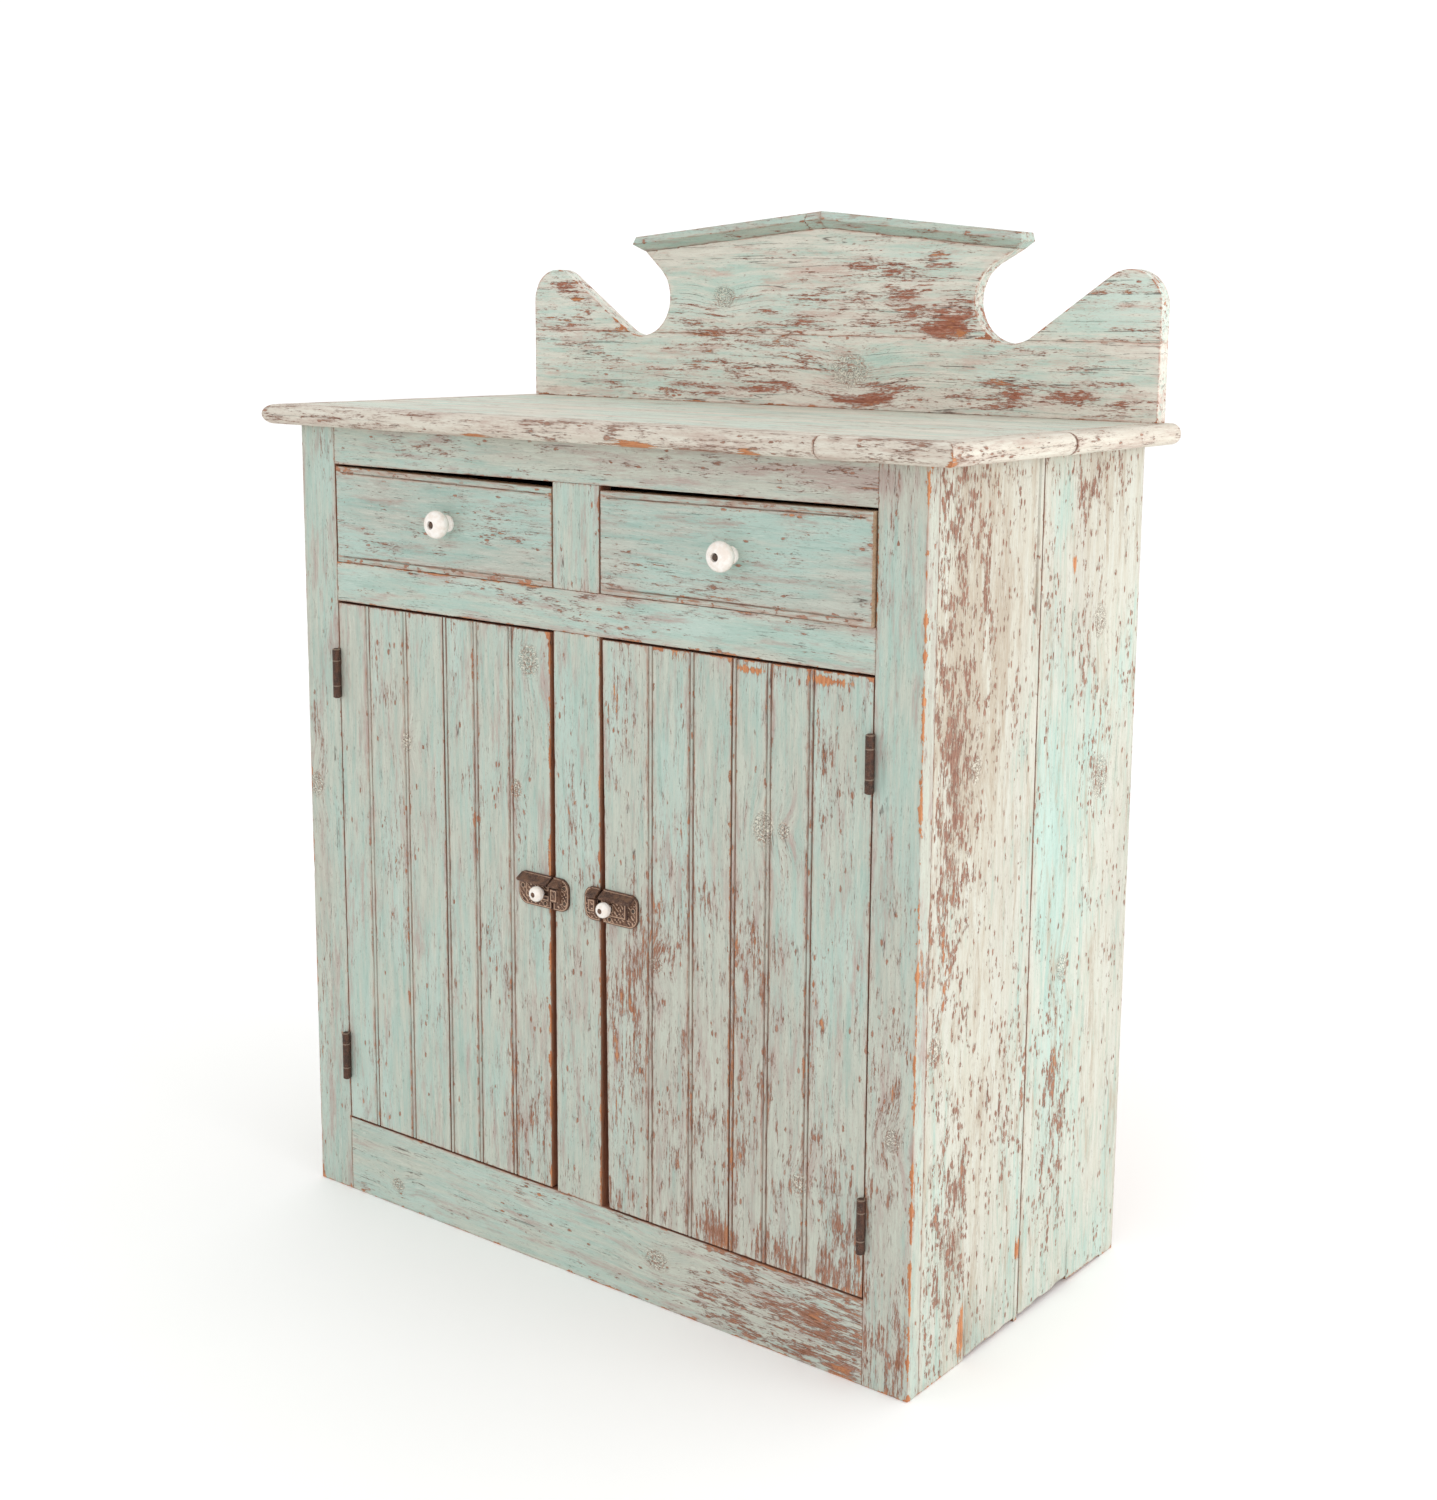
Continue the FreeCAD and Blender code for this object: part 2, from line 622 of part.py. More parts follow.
def hinge_x(side):
    """The middle of the gap between a door's hinge edge and its stile."""
    if side == "left":
        return STILE_LEFT_IN + HINGE_GAP / 2.0
    return STILE_RIGHT_IN - HINGE_GAP / 2.0


def hung_hinges(side):
    """The two hinges of one door, each piece in its place."""
    piece_lists = {}
    for key, piece in hinge().items():
        pieces = piece if isinstance(piece, list) else [piece]
        placed = []
        for z in HINGE_HEIGHTS:
            for one in pieces:
                one = one if side == "left" else mirrored(one)
                placed.append(moved(one, hinge_x(side), FACE_Y, z))
        piece_lists[key] = placed
    return piece_lists


# ---------------------------------------------------------------- catches

def layer(points, low, high):
    """A catch's outline in u and v, as a layer between two distances from the face."""
    return prism(points, lambda p: V(p[0], -low, p[1]), V(0, low - high, 0))


def block(u0, u1, v0, v1, low, high):
    return layer([(u0, v0), (u1, v0), (u1, v1), (u0, v1)], low, high)


def hood(u0, u1):
    """The raised slanted hood that runs along the catch."""
    out = CATCH_HOOD_OUT
    section = [(CATCH_BASE_T - 1.0, 19.0), (CATCH_BASE_T, 19.0), (out, 13.2), (out, 11.4),
               (out - 1.6, 9.6), (CATCH_BASE_T - 1.0, 9.6)]
    return prism(section, lambda p: V(u0, -p[0], p[1]), V(u1 - u0, 0, 0))


def catch():
    """A left-hand catch about the foot of its knob: plate, bolt, knob, screws."""
    h = CATCH_HALF_H
    base = Outline((CATCH_INNER, -h), lambda p: V(p[0], 0, p[1]))
    base.line((-29.0, -h)).arc((-37.8, -16.4), (CATCH_OUTER, -8.0))
    base.line((CATCH_OUTER, 9.0)).arc((-39.2, 16.6), (-32.0, h)).line((CATCH_INNER, h))
    plate = base.solid(V(0, -CATCH_BASE_T, 0))
    case = block(-27.0, CATCH_INNER, -10.0, 14.0, CATCH_BASE_T - 1.0, CATCH_BOX_T)
    plate = plate.fuse([case, hood(-37.0, CATCH_INNER)]).removeSplitter()
    pocket = block(BOLT_TAIL - 0.5, CATCH_INNER + 1.0, -POCKET_HALF_H, POCKET_HALF_H,
                   *POCKET_LAYER)
    slot = block(SLOT_SPAN[0], SLOT_SPAN[1], -SLOT_HALF_H, SLOT_HALF_H, POCKET_LAYER[0],
                 CATCH_BOX_T + 1.0)
    nose = [(BOLT_TAIL, BOLT_LAYER[0]), (BOLT_NOSE, BOLT_LAYER[0]), (BOLT_NOSE - 1.2, BOLT_LAYER[1]),
            (BOLT_TAIL, BOLT_LAYER[1])]
    tongue = prism(nose, lambda p: V(p[0], -p[1], -BOLT_HALF_H), V(0, 0, 2 * BOLT_HALF_H))
    stem = turned([(0, 4.0), (STEM_R, 4.0), (STEM_R, 22.2), (2.9, 22.2),
                   (2.6, 23.4, 1.6, 24.0), (0, 24.0)], V(0, 0, 0), V(0, -1, 0))
    bore = STEM_R + 0.05
    knob = turned([(bore, 8.6), (5.4, 8.6), (5.4, 10.4), (8.2, 12.4, 9.3, 16.6),
                   (8.6, 20.6, 6.2, 22.8), (4.8, 23.6, 3.4, 23.6), (3.1, 22.2), (bore, 22.2)],
                  V(0, 0, 0), V(0, -1, 0))
    inward = V(0, 1, 0)
    screws = [round_screw(V(u, -CATCH_BASE_T, v), inward, CATCH_SCREW_LENGTH)
              for u, v in ((-35.0, 2.0), (2.0, -15.0))]
    return {
        "plate": [without(plate, [pocket, slot] + screws)],
        "bolt": [tongue.fuse(stem).removeSplitter()],
        "knob": [knob],
        "screws": screws,
    }


def keeper():
    """A left-hand keeper; its edge towards the door is at u = 0."""
    h = CATCH_HALF_H
    base = Outline((0, -h), lambda p: V(p[0], 0, p[1]))
    base.line((12.0, -h)).arc((20.6, -17.0), (KEEPER_W, -8.0))
    base.line((KEEPER_W, 8.0)).arc((21.2, 16.4), (13.0, h)).line((0, h))
    plate = base.solid(V(0, -CATCH_BASE_T, 0))
    case = block(0, 13.0, -10.0, 14.0, CATCH_BASE_T - 1.0, CATCH_BOX_T)
    boss = block(1.5, 12.5, -7.5, 8.0, CATCH_BOX_T - 1.0, 11.0)
    plate = plate.fuse([case, boss, hood(0, 14.5)]).removeSplitter()
    pocket = block(-1.0, KEEPER_POCKET, -POCKET_HALF_H, POCKET_HALF_H, *POCKET_LAYER)
    inward = V(0, 1, 0)
    screws = [round_screw(V(18.6, -CATCH_BASE_T, v), inward, CATCH_SCREW_LENGTH)
              for v in (-9.5, 9.5)]
    return {"keeper": [without(plate, [pocket] + screws)], "screws": screws}


def placed_catch(pieces, side, x):
    """Catch pieces moved to their place, and mirrored for the right-hand door."""
    result = {}
    for key, solids in pieces.items():
        if side == "right":
            solids = [mirrored(solid) for solid in solids]
        result[key] = [moved(solid, x, FACE_Y, CATCH_Z) for solid in solids]
    return result


# ---------------------------------------------------------------- doors

def beaded_board(x0, x1, beads, edge_bead, groove, tongue):
    """A door board; beads are sunk in its face, its left edge may be grooved, its right tongued."""
    mid = DOOR_T / 2.0
    t0, t1 = mid - TONGUE_T / 2.0, mid + TONGUE_T / 2.0

    def bead(outline, x):
        outline.line((x - BEAD_HALF, QUIRK_DEPTH))
        outline.arc((x, 0.1), (x + BEAD_HALF, QUIRK_DEPTH))
        outline.line((x + BEAD_HALF + QUIRK_W, 0))

    if edge_bead:
        outline = Outline((x0, QUIRK_DEPTH), in_plan(DOOR_BOTTOM))
        outline.arc((x0 + BEAD_HALF, 0.1), (x0 + 2 * BEAD_HALF, QUIRK_DEPTH))
        outline.line((x0 + 2 * BEAD_HALF + QUIRK_W, 0))
    else:
        outline = Outline((x0, 0), in_plan(DOOR_BOTTOM))
    for x in beads:
        outline.line((x - BEAD_HALF - QUIRK_W, 0))
        bead(outline, x)
    outline.line((x1, 0))
    if tongue:
        reach = x1 + TONGUE_LENGTH
        outline.line((x1, t0), (reach, t0), (reach, t1), (x1, t1))
    outline.line((x1, DOOR_T), (x0, DOOR_T))
    if groove:
        depth = x0 + TONGUE_LENGTH + GROOVE_SLACK - FACE_JOINT_GAP
        outline.line((x0, t1), (depth, t1), (depth, t0), (x0, t0))
    return outline.solid(V(0, 0, DOOR_TOP - DOOR_BOTTOM))


def door_parts(side):
    spec = DOORS[side]
    hinge_edge = hinge_x(side) + (HINGE_GAP / 2.0 if side == "left" else -HINGE_GAP / 2.0)
    free = (spec["free_bottom"], spec["free_top"])
    widest = max(free) if side == "left" else min(free)
    joint = spec["joint"]
    left_end, right_end = (hinge_edge, widest) if side == "left" else (widest, hinge_edge)
    left_beads = [x for x in spec["beads"] if x < joint]
    right_beads = [x for x in spec["beads"] if x > joint]
    left_board = beaded_board(left_end, joint - FACE_JOINT_GAP / 2, left_beads, False, False, True)
    right_board = beaded_board(joint + FACE_JOINT_GAP / 2, right_end, right_beads, True, True, False)
    # the free edge leans, so the gap beside it widens downwards
    beyond = widest + (20.0 if side == "left" else -20.0)
    wedge = prism([(free[0], DOOR_BOTTOM), (free[1], DOOR_TOP), (beyond, DOOR_TOP),
                   (beyond, DOOR_BOTTOM)], in_front(-1.0), V(0, DOOR_T + 2.0, 0))
    boards = [board.cut(wedge) for board in (left_board, right_board)]

    inward = 1 if side == "left" else -1
    ends = sorted((hinge_edge + inward * BATTEN_HINGE_INSET, free[0] - inward * BATTEN_FREE_INSET))
    battens = []
    screws = []
    for z in HINGE_HEIGHTS:
        battens.append(box(ends[0], ends[1], DOOR_T, DOOR_T + BATTEN_T, z - BATTEN_HALF_H,
                           z + BATTEN_HALF_H))
        for x in (ends[0] + BATTEN_SCREW_INSET, joint - BATTEN_SCREW_OFF_JOINT,
                  joint + BATTEN_SCREW_OFF_JOINT, ends[1] - BATTEN_SCREW_INSET):
            for dz in (-BATTEN_SCREW_RISE, BATTEN_SCREW_RISE):
                head = V(x, FACE_Y + DOOR_T + BATTEN_T, z + dz)
                screws.append(wood_screw(head, V(0, -1, 0), BATTEN_SCREW_LENGTH))
    hinges = hung_hinges(side)
    fitted = placed_catch(catch(), side, CATCH_X[side])
    screws += hinges["door_screws"] + fitted["screws"]
    lets = hinges["door_leaf"] + screws
    hinge_board, free_board = boards if side == "left" else reversed(boards)
    return {
        "hinge_board": without(hinge_board, lets),
        "free_board": without(free_board, lets),
        "battens": group([without(batten, screws) for batten in battens]),
        "hinge_leaves": group(hinges["door_leaf"]),
        "screws": group(screws),
        "catch_plate": fitted["plate"][0],
        "catch_bolt": fitted["bolt"][0],
        "catch_knob": fitted["knob"][0],
    }


# ---------------------------------------------------------------- drawers

def drawer_parts(side):
    spec = DRAWERS[side]
    if side == "left":
        x0, x1 = STILE_LEFT_IN + DRAWER_SIDE_GAP, MULLION_LEFT - DRAWER_SIDE_GAP
    else:
        x0, x1 = MULLION_RIGHT + DRAWER_SIDE_GAP, STILE_RIGHT_IN - DRAWER_SIDE_GAP
    z0 = MIDDLE_RAIL_TOP + DRAWER_LIFT
    z_left, z_right = [TOP_RAIL_BOTTOM - gap for gap in spec["top_gaps"]]

    def panel(inset, front, depth):
        return prism([(x0 + inset, z0 + inset), (x1 - inset, z0 + inset),
                      (x1 - inset, z_right - inset), (x0 + inset, z_left - inset)],
                     in_front(front), V(0, depth, 0))

    outer = panel(SCRATCH_INSET, -1.0, SCRATCH_DEPTH + 1.0)
    inner = panel(SCRATCH_INSET + SCRATCH_W, -1.0, SCRATCH_DEPTH + 1.0)
    front = panel(0, 0, DRAWER_FRONT_T).cut(outer.cut(inner))

    top = z0 + DRAWER_SIDE_H
    sides = [box(x, x + DRAWER_SIDE_T, DRAWER_LIP, DRAWER_DEPTH, z0, top)
             for x in (x0, x1 - DRAWER_SIDE_T)]
    inside = (x0 + DRAWER_SIDE_T, x1 - DRAWER_SIDE_T)
    bottom_z = z0 + DRAWER_BOTTOM_Z
    bottom = box(inside[0] - DRAWER_GROOVE, inside[1] + DRAWER_GROOVE,
                 DRAWER_FRONT_T - DRAWER_GROOVE, DRAWER_DEPTH - 1.0,
                 bottom_z, bottom_z + DRAWER_BOTTOM_T)
    back = box(inside[0], inside[1], DRAWER_DEPTH - DRAWER_SIDE_T - 2.0, DRAWER_DEPTH - 2.0,
               bottom_z + DRAWER_BOTTOM_T, z0 + DRAWER_BACK_TOP)
    knob_x, knob_z = spec["knob"]
    bolt, nut = knob_screw(knob_x, knob_z)
    recess = panel(0, DRAWER_LIP, DRAWER_FRONT_T)
    rebates = [box(x, x + DRAWER_SIDE_T, DRAWER_LIP, DRAWER_FRONT_T + 1.0, z0 - 1.0,
                   TOP_RAIL_BOTTOM).common(recess) for x in (x0, x1 - DRAWER_SIDE_T)]
    return {
        "front": without(front, rebates + [bottom, bolt]),
        "sides": group([side_board.cut(bottom) for side_board in sides]),
        "back": back,
        "bottom": bottom,
        "knob": drawer_knob(knob_x, knob_z),
        "knob_screw": group([bolt, nut]),
    }


# ---------------------------------------------------------------- the whole cupboard

def cupboard():
    nodes = {}
    nodes.update(side_boards())
    nodes.update(face_frame())
    nodes["back_boards"] = back_boards()
    nodes["floor_boards"] = level_boards(FLOOR_TOP, FRAME_T)
    nodes["shelf_boards"] = level_boards(SHELF_TOP, SHELF_FRONT)
    nodes["case_bearers"] = bearers()
    nodes["drawer_runners"] = drawer_runners()
    nodes.update(top_parts())
    nodes.update(splash_parts())
    nodes.update(cap_parts())
    long_screws = splash_screws()
    nodes["splash_screws"] = group(long_screws)
    nodes["top_rear_board"] = without(nodes["top_rear_board"], long_screws)
    nodes["splash_lower_board"] = without(nodes["splash_lower_board"], long_screws)

    leaves, pins, small_screws, keepers = [], [], [], []
    for side in ("left", "right"):
        hinges = hung_hinges(side)
        held = placed_catch(keeper(), side, KEEPER_EDGE[side])
        leaves += hinges["frame_leaf"]
        pins += hinges["pin"]
        small_screws += hinges["frame_screws"] + held["screws"]
        keepers += held["keeper"]
        nodes["stile_" + side] = without(nodes["stile_" + side],
                                         hinges["frame_leaf"] + hinges["frame_screws"])
        nodes["door_mullion"] = without(nodes["door_mullion"], held["screws"])
        for key, shape in door_parts(side).items():
            nodes["door_" + side + "_" + key] = shape
        for key, shape in drawer_parts(side).items():
            nodes["drawer_" + side + "_" + key] = shape
    nodes["hinge_frame_leaves"] = group(leaves)
    nodes["hinge_pins"] = group(pins)
    nodes["frame_hardware_screws"] = group(small_screws)
    nodes["catch_keepers"] = group(keepers)
    return nodes


def main():
    os.makedirs("parts", exist_ok=True)
    nodes = cupboard()
    for name, shape in nodes.items():
        sound = shape.isValid() and all(solid.Volume > 0 for solid in shape.Solids)
        print(name, len(shape.Solids), "solids", "sound" if sound else "NOT SOUND")
        shape.exportStep("parts/" + name + ".step")
    whole = Part.makeCompound(list(nodes.values())).BoundBox
    print(len(nodes), "nodes; x", whole.XMin, whole.XMax, "y", whole.YMin, whole.YMax,
          "z", whole.ZMin, whole.ZMax)


main()
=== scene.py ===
"""Looks of the painted pine cupboard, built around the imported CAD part. Lengths are in metres."""

import json
import math
import random

import bmesh
import bpy
import numpy as np
from mathutils import Matrix, Vector, kdtree, noise
from mathutils.bvhtree import BVHTree


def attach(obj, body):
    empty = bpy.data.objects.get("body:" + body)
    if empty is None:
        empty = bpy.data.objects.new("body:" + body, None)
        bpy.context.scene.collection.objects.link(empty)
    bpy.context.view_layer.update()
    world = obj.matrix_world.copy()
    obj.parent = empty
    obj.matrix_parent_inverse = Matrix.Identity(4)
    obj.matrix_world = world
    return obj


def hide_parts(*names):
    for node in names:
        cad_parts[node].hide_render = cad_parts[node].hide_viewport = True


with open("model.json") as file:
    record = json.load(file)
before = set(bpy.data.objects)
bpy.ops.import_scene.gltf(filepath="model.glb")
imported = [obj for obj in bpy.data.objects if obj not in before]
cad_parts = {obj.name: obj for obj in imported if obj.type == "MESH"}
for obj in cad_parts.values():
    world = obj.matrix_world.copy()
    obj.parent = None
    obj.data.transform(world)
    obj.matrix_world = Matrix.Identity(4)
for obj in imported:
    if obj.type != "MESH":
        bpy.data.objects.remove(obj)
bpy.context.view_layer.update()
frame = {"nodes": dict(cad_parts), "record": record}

MM = 0.001
AXES = {"X": 0, "Y": 1, "Z": 2}
FLOOR_Z = 0.0

# Grid over the wood, and how its arrises are rounded and chipped
SHOW_STEP = 7 * MM             # between cuts on a painted board
HIDDEN_STEP = 45 * MM          # between cuts on a board inside the case
LONG_STEP = 1.4                # the step along the grain is this many times as long
ARRIS = 0.8 * MM
ARRIS_ANGLE = math.radians(35)
ARRIS_SPACING = 4 * MM         # between the points that stand for an arris
SHARP_ANGLE = math.radians(18)
EDGE_REACH = 60 * MM           # the edge attribute is this far from an arris at most
CHIP_REACH = 1.6 * MM
CHIP_DEPTH = 1.3 * MM
FACE_REACH = 4 * MM            # a face is flat at its arris, and fully uneven from here on
UNEVEN = 0.25 * MM             # how far a painted face rises and falls
KNOT_LIFT = 0.5 * MM
SAME_POINT = 0.002 * MM
FLAT_ANGLE = math.radians(0.5)
ON_PLANE = 1e-6
NEAR_FACE = 0.1 * MM
SCRATCH_LIMIT = 2 * MM         # the line scratched on a drawer front is shallower than this

# The relief cast on the flat faces of a catch
CATCH_PLATE = 3.0 * MM         # thickness of a catch's plate under its raised parts
RELIEF_STEP = 0.8 * MM
RELIEF_HEIGHT = 0.6 * MM
SCROLL_TURN = 0.95             # radians of scroll in a millimetre
SCROLL_HEIGHT = 1.3            # the rim's height is 1
RIM_PLACE = 1.6                # millimetres in from the edge
RIM_HALF_WIDTH = 0.7


def board_axes(points, grain):
    """The axes along a board's grain, across the board and through it."""
    along = AXES[grain]
    others = [i for i in range(3) if i != along]
    spread = np.ptp(points[:, others], axis=0)
    across, depth = others if spread[0] >= spread[1] else others[::-1]
    return [along, across, depth]


# ---------------------------------------------------------------- wear, by place on the cupboard
# A patch is (centre u, centre v, half-width u, half-width v, fade, wear), in millimetres. u is X on the
# front and the splashback and Y on the sides and the top; v is Z, or X on the top. Fade turns the aqua
# paint to the cream under it, and wear takes the paint off the wood in flecks. Fade above 0.8 also darkens
# the paint with grime, which on the upper sides and the top rail stands as painted shade under the top.
BASE = {
    "front": (0.34, 0.34), "side": (0.47, 0.38), "splash": (0.46, 0.48), "top": (0.50, 0.30),
    "nosing": (0.92, 0.70), "cap": (0.20, 0.42),
}
PATCHES = {
    "front": [
        (200, 260, 190, 230, 0.42, 0.34),
        (90, 440, 60, 110, 0.22, 0.34),
        (240, 530, 60, 130, 0.15, 0.22),
        (385, 200, 60, 120, 0.10, 0.34),
        (200, 118, 230, 24, 0.10, 0.46),
        (300, 50, 170, 34, 0.30, 0.52),
        (330, 12, 130, 14, 0.00, 0.40),
        (60, 70, 120, 40, -0.10, -0.12),
        (-250, 50, 180, 50, 0.20, -0.14),
        (200, 1010, 240, 24, 0.30, 0.06),
        (452, 500, 24, 480, 0.12, 0.14),
        # On the top rail under the top's overhang the fade is raised until the paint darkens: partly a
        # grey-brown film, partly painted shade of the top.
        (380, 1018, 110, 20, 0.80, 0.20),
        (100, 1020, 180, 16, 0.45, 0.26),
        (-250, 1016, 160, 14, 0.15, 0.38),
        (-20, 846, 90, 24, 0.15, 0.46),
        (250, 858, 180, 8, 0.15, 0.20),
        (452, 1000, 26, 50, 0.20, 0.40),
        (452, 760, 30, 180, -0.20, -0.06),
        (452, 330, 26, 190, 0.36, 0.10),
        (470, 60, 26, 120, 0.10, 0.30),
        (-150, 500, 80, 260, 0.12, 0.14),
        (-300, 560, 60, 200, 0.20, 0.16),
        (-340, 700, 60, 90, 0.10, 0.18),
        (-90, 250, 40, 160, 0.15, 0.26),
        (-462, 420, 18, 260, 0.30, 0.34),
        (-462, 620, 16, 60, 0.10, 0.30),
        (-4, 480, 24, 190, 0.10, 0.24),
        (-4, 700, 30, 80, -0.20, 0.00),
        (-320, 910, 60, 40, 0.05, 0.22),
        (-150, 920, 60, 30, 0.05, 0.16),
        (-80, 900, 40, 30, 0.10, 0.18),
        (60, 910, 26, 60, 0.25, 0.34),
        (390, 890, 34, 40, 0.20, 0.26),
        (220, 880, 120, 16, 0.20, 0.26),
        (220, 800, 200, 12, 0.05, 0.34),
        (240, 836, 190, 16, -0.25, -0.24),
        (375, 710, 26, 110, 0.25, 0.40),
        (318, 650, 16, 90, 0.15, 0.26),
        (80, 700, 30, 120, 0.30, 0.20),
        (-240, 836, 180, 18, -0.15, -0.12),
    ],
    "side": [
        # On the upper front of the side the fade is raised until the paint darkens: partly cream fade and
        # grime, partly painted shade under the top.
        (-130, 820, 110, 280, 0.72, 0.20),
        (120, 960, 140, 150, 0.45, 0.10),
        (-100, 330, 110, 240, 0.35, 0.0),
        (200, 500, 60, 400, 0.25, 0.0),
        (-178, 800, 26, 240, 0.10, 0.62),
        (-130, 800, 34, 190, 0.05, 0.44),
        (-170, 560, 40, 160, 0.05, 0.12),
        (-60, 900, 60, 120, 0.10, 0.02),
        (-60, 1016, 150, 16, 0.10, 0.30),
        (110, 1012, 70, 30, 0.05, 0.22),
        (-60, 600, 60, 160, 0.10, -0.16),
        (-90, 250, 80, 150, 0.10, 0.40),
        (-160, 120, 50, 120, 0.00, 0.30),
        (-5, 130, 70, 110, -0.15, -0.10),
        (80, 250, 50, 120, 0.00, 0.36),
        (70, 110, 50, 80, 0.05, 0.26),
        (180, 330, 50, 160, 0.05, 0.10),
        (180, 260, 44, 300, 0.00, -0.22),
        (170, 990, 70, 36, 0.05, 0.40),
        (60, 980, 30, 60, -0.50, -0.20),
        (60, 560, 50, 260, -0.35, -0.10),
        (150, 640, 50, 140, -0.10, 0.14),
        (120, 820, 20, 90, 0.05, 0.24),
        (-190, 950, 16, 60, -0.30, 0.20),
    ],
    "splash": [
        (80, 1080, 320, 15, 0.20, 0.52),
        (-40, 1104, 180, 22, 0.15, 0.26),
        (290, 1080, 120, 14, 0.00, 0.30),
        (20, 1170, 140, 20, 0.10, 0.34),
        (180, 1178, 80, 20, 0.05, 0.50),
        (120, 1216, 110, 16, 0.05, 0.40),
        (160, 1240, 90, 12, 0.00, 0.30),
        (222, 1180, 34, 34, 0.00, 0.20),
        (10, 1208, 50, 10, 0.00, 0.26),
        (400, 1076, 90, 9, 0.05, 0.30),
        (60, 1246, 180, 12, 0.00, 0.26),
        (-160, 1158, 60, 14, 0.10, 0.36),
        (-150, 1225, 110, 26, -0.20, -0.16),
        (110, 1135, 50, 20, -0.30, -0.30),
        (430, 1190, 60, 40, -0.25, -0.06),
        (470, 1150, 34, 10, 0.60, 0.20),
        (400, 1095, 100, 14, 0.00, 0.20),
        (-330, 1090, 120, 22, -0.15, -0.06),
        (-430, 1150, 60, 14, 0.10, 0.20),
        (-440, 1215, 40, 16, 0.20, 0.34),
    ],
    "top": [
        (-215, 0, 14, 520, 0.25, 0.34),
        (230, 0, 16, 520, 0.20, 0.20),
        (7, 0, 6, 520, 0.20, 0.24),
        (-60, 360, 90, 120, 0.15, 0.14),
    ],
    "nosing": [
        (-250, 210, 60, 60, 0.0, 0.16),
        (-250, 480, 60, 60, 0.0, 0.30),
        (60, 512, 240, 16, 0.0, -0.34),
    ],
    "cap": [(250, 1280, 60, 20, 0.15, 0.16), (-100, 1285, 60, 20, 0.15, 0.16)],
}
# Arrises rubbed down to raw wood: low and high X, Y and Z in millimetres, and how far
RUBBED = [
    (474, 490, -232, -212, 0, 1036, 1.0), (-490, -474, -232, -212, 0, 640, 0.5),
    (-421, 421, -232, -204, 97, 104, 0.5), (-421, 421, -232, -204, 808, 816, 0.6),
    (-421, -40, -232, -204, 857, 863, 0.8), (-56, -44, -232, -204, 104, 808, 1.0),
    (30, 38, -232, -204, 104, 808, 0.8), (90, 421, -232, -204, 800, 809, 0.9),
    (500, 530, -257, -225, 1034, 1052, 1.0),
    (414, 422, -232, -204, 862, 985, 0.9), (-421, -60, -232, -204, 983, 988, 0.7),
    (-483, 483, -240, 260, -1, 5, 0.9),
    (-360, -300, 230, 260, 1140, 1200, 0.8), (250, 330, 230, 260, 1140, 1200, 0.5),
    (-506, 506, 230, 260, 1061, 1066, 0.6), (222, 236, -232, -204, 104, 808, 0.6),
    (167, 175, -232, -204, 250, 808, 0.45), (334, 343, -232, -204, 104, 600, 0.4),
    (-302, -293, -232, -204, 104, 790, 0.4), (-178, -168, -232, -204, 400, 808, 0.3),
    (-118, -109, -232, -204, 104, 500, 0.35),
]
# Gouges down to raw wood: the place, centre u and v, and half-widths u and v, in millimetres. The lip is
# the top's front nosing seen from the front.
SCARS = [
    ("splash", -423, 1199, 18, 2), ("splash", 230, 1163, 5, 3),
    ("side", -119, 38, 4, 44), ("side", 88, 905, 4, 8), ("side", 6, 92, 3, 18),
    ("front", 360, 797, 36, 3), ("front", 255, 799, 22, 2), ("front", 150, 803, 14, 2),
    ("lip", 105, 1038, 44, 2), ("lip", 265, 1038, 20, 2), ("lip", -150, 1036, 30, 1),
    ("lip", 522, 1037, 5, 2),
]
LIP_BACK = -238 * MM           # the lip is in front of this
# The axes that u and v run along at each place
PLACES = {
    "front": (0, 2), "side": (1, 2), "splash": (0, 2), "top": (1, 0), "nosing": (1, 0), "cap": (0, 2),
    "lip": (0, 2),
}
FRONT, BACK, LEFT, RIGHT, UP = (0, -1, 0), (0, 1, 0), (-1, 0, 0), (1, 0, 0), (0, 0, 1)
FACES = {FRONT: "front", LEFT: "side", RIGHT: "side", BACK: "side", UP: "top"}

# Knots: the CAD node each is in, how far along and across the board it is, and its radius, in millimetres
KNOTS = [
    ("door_left_free_board", 770, -82, 15), ("door_left_free_board", 608, -105, 10),
    ("door_left_hinge_board", 640, -296, 9), ("door_right_hinge_board", 620, 275, 14),
    ("door_right_hinge_board", 622, 303, 8), ("door_right_free_board", 430, 120, 9),
    ("door_right_hinge_board", 215, 330, 10), ("rail_bottom", 120, 60, 13), ("rail_bottom", -330, 30, 9),
    ("side_right_rear_board", 640, 170, 19), ("side_right_front_board", 700, -120, 12),
    ("side_right_rear_board", 832, 155, 15), ("side_right_front_board", 395, -190, 14),
    ("side_right_rear_board", 420, 90, 12),
    ("stile_left", 560, -470, 13), ("stile_right", 300, 455, 10),
    ("splash_lower_board", 60, 1112, 22), ("splash_crest", -150, 1205, 14), ("top_rear_board", -180, 150, 16),
    ("side_left_front_board", 520, -60, 15), ("side_left_rear_board", 260, 140, 13),
]


def board_offset(node, island):
    """Where a board's grain starts, so that no two boards share a pattern."""
    pick = random.Random(f"{node}/{island}")
    return np.array([pick.uniform(-40, 40) for _ in range(3)])


def blobs(points, place):
    """(fade, wear) of each point, from one side's patches."""
    u, v = (points[:, i] / MM for i in PLACES[place])
    fade, wear = (np.full(len(points), float(base)) for base in BASE[place])
    for centre_u, centre_v, half_u, half_v, more_fade, more_wear in PATCHES[place]:
        near = np.exp(-((u - centre_u) / half_u) ** 2 - ((v - centre_v) / half_v) ** 2)
        fade += more_fade * near
        wear += more_wear * near
    return fade, wear


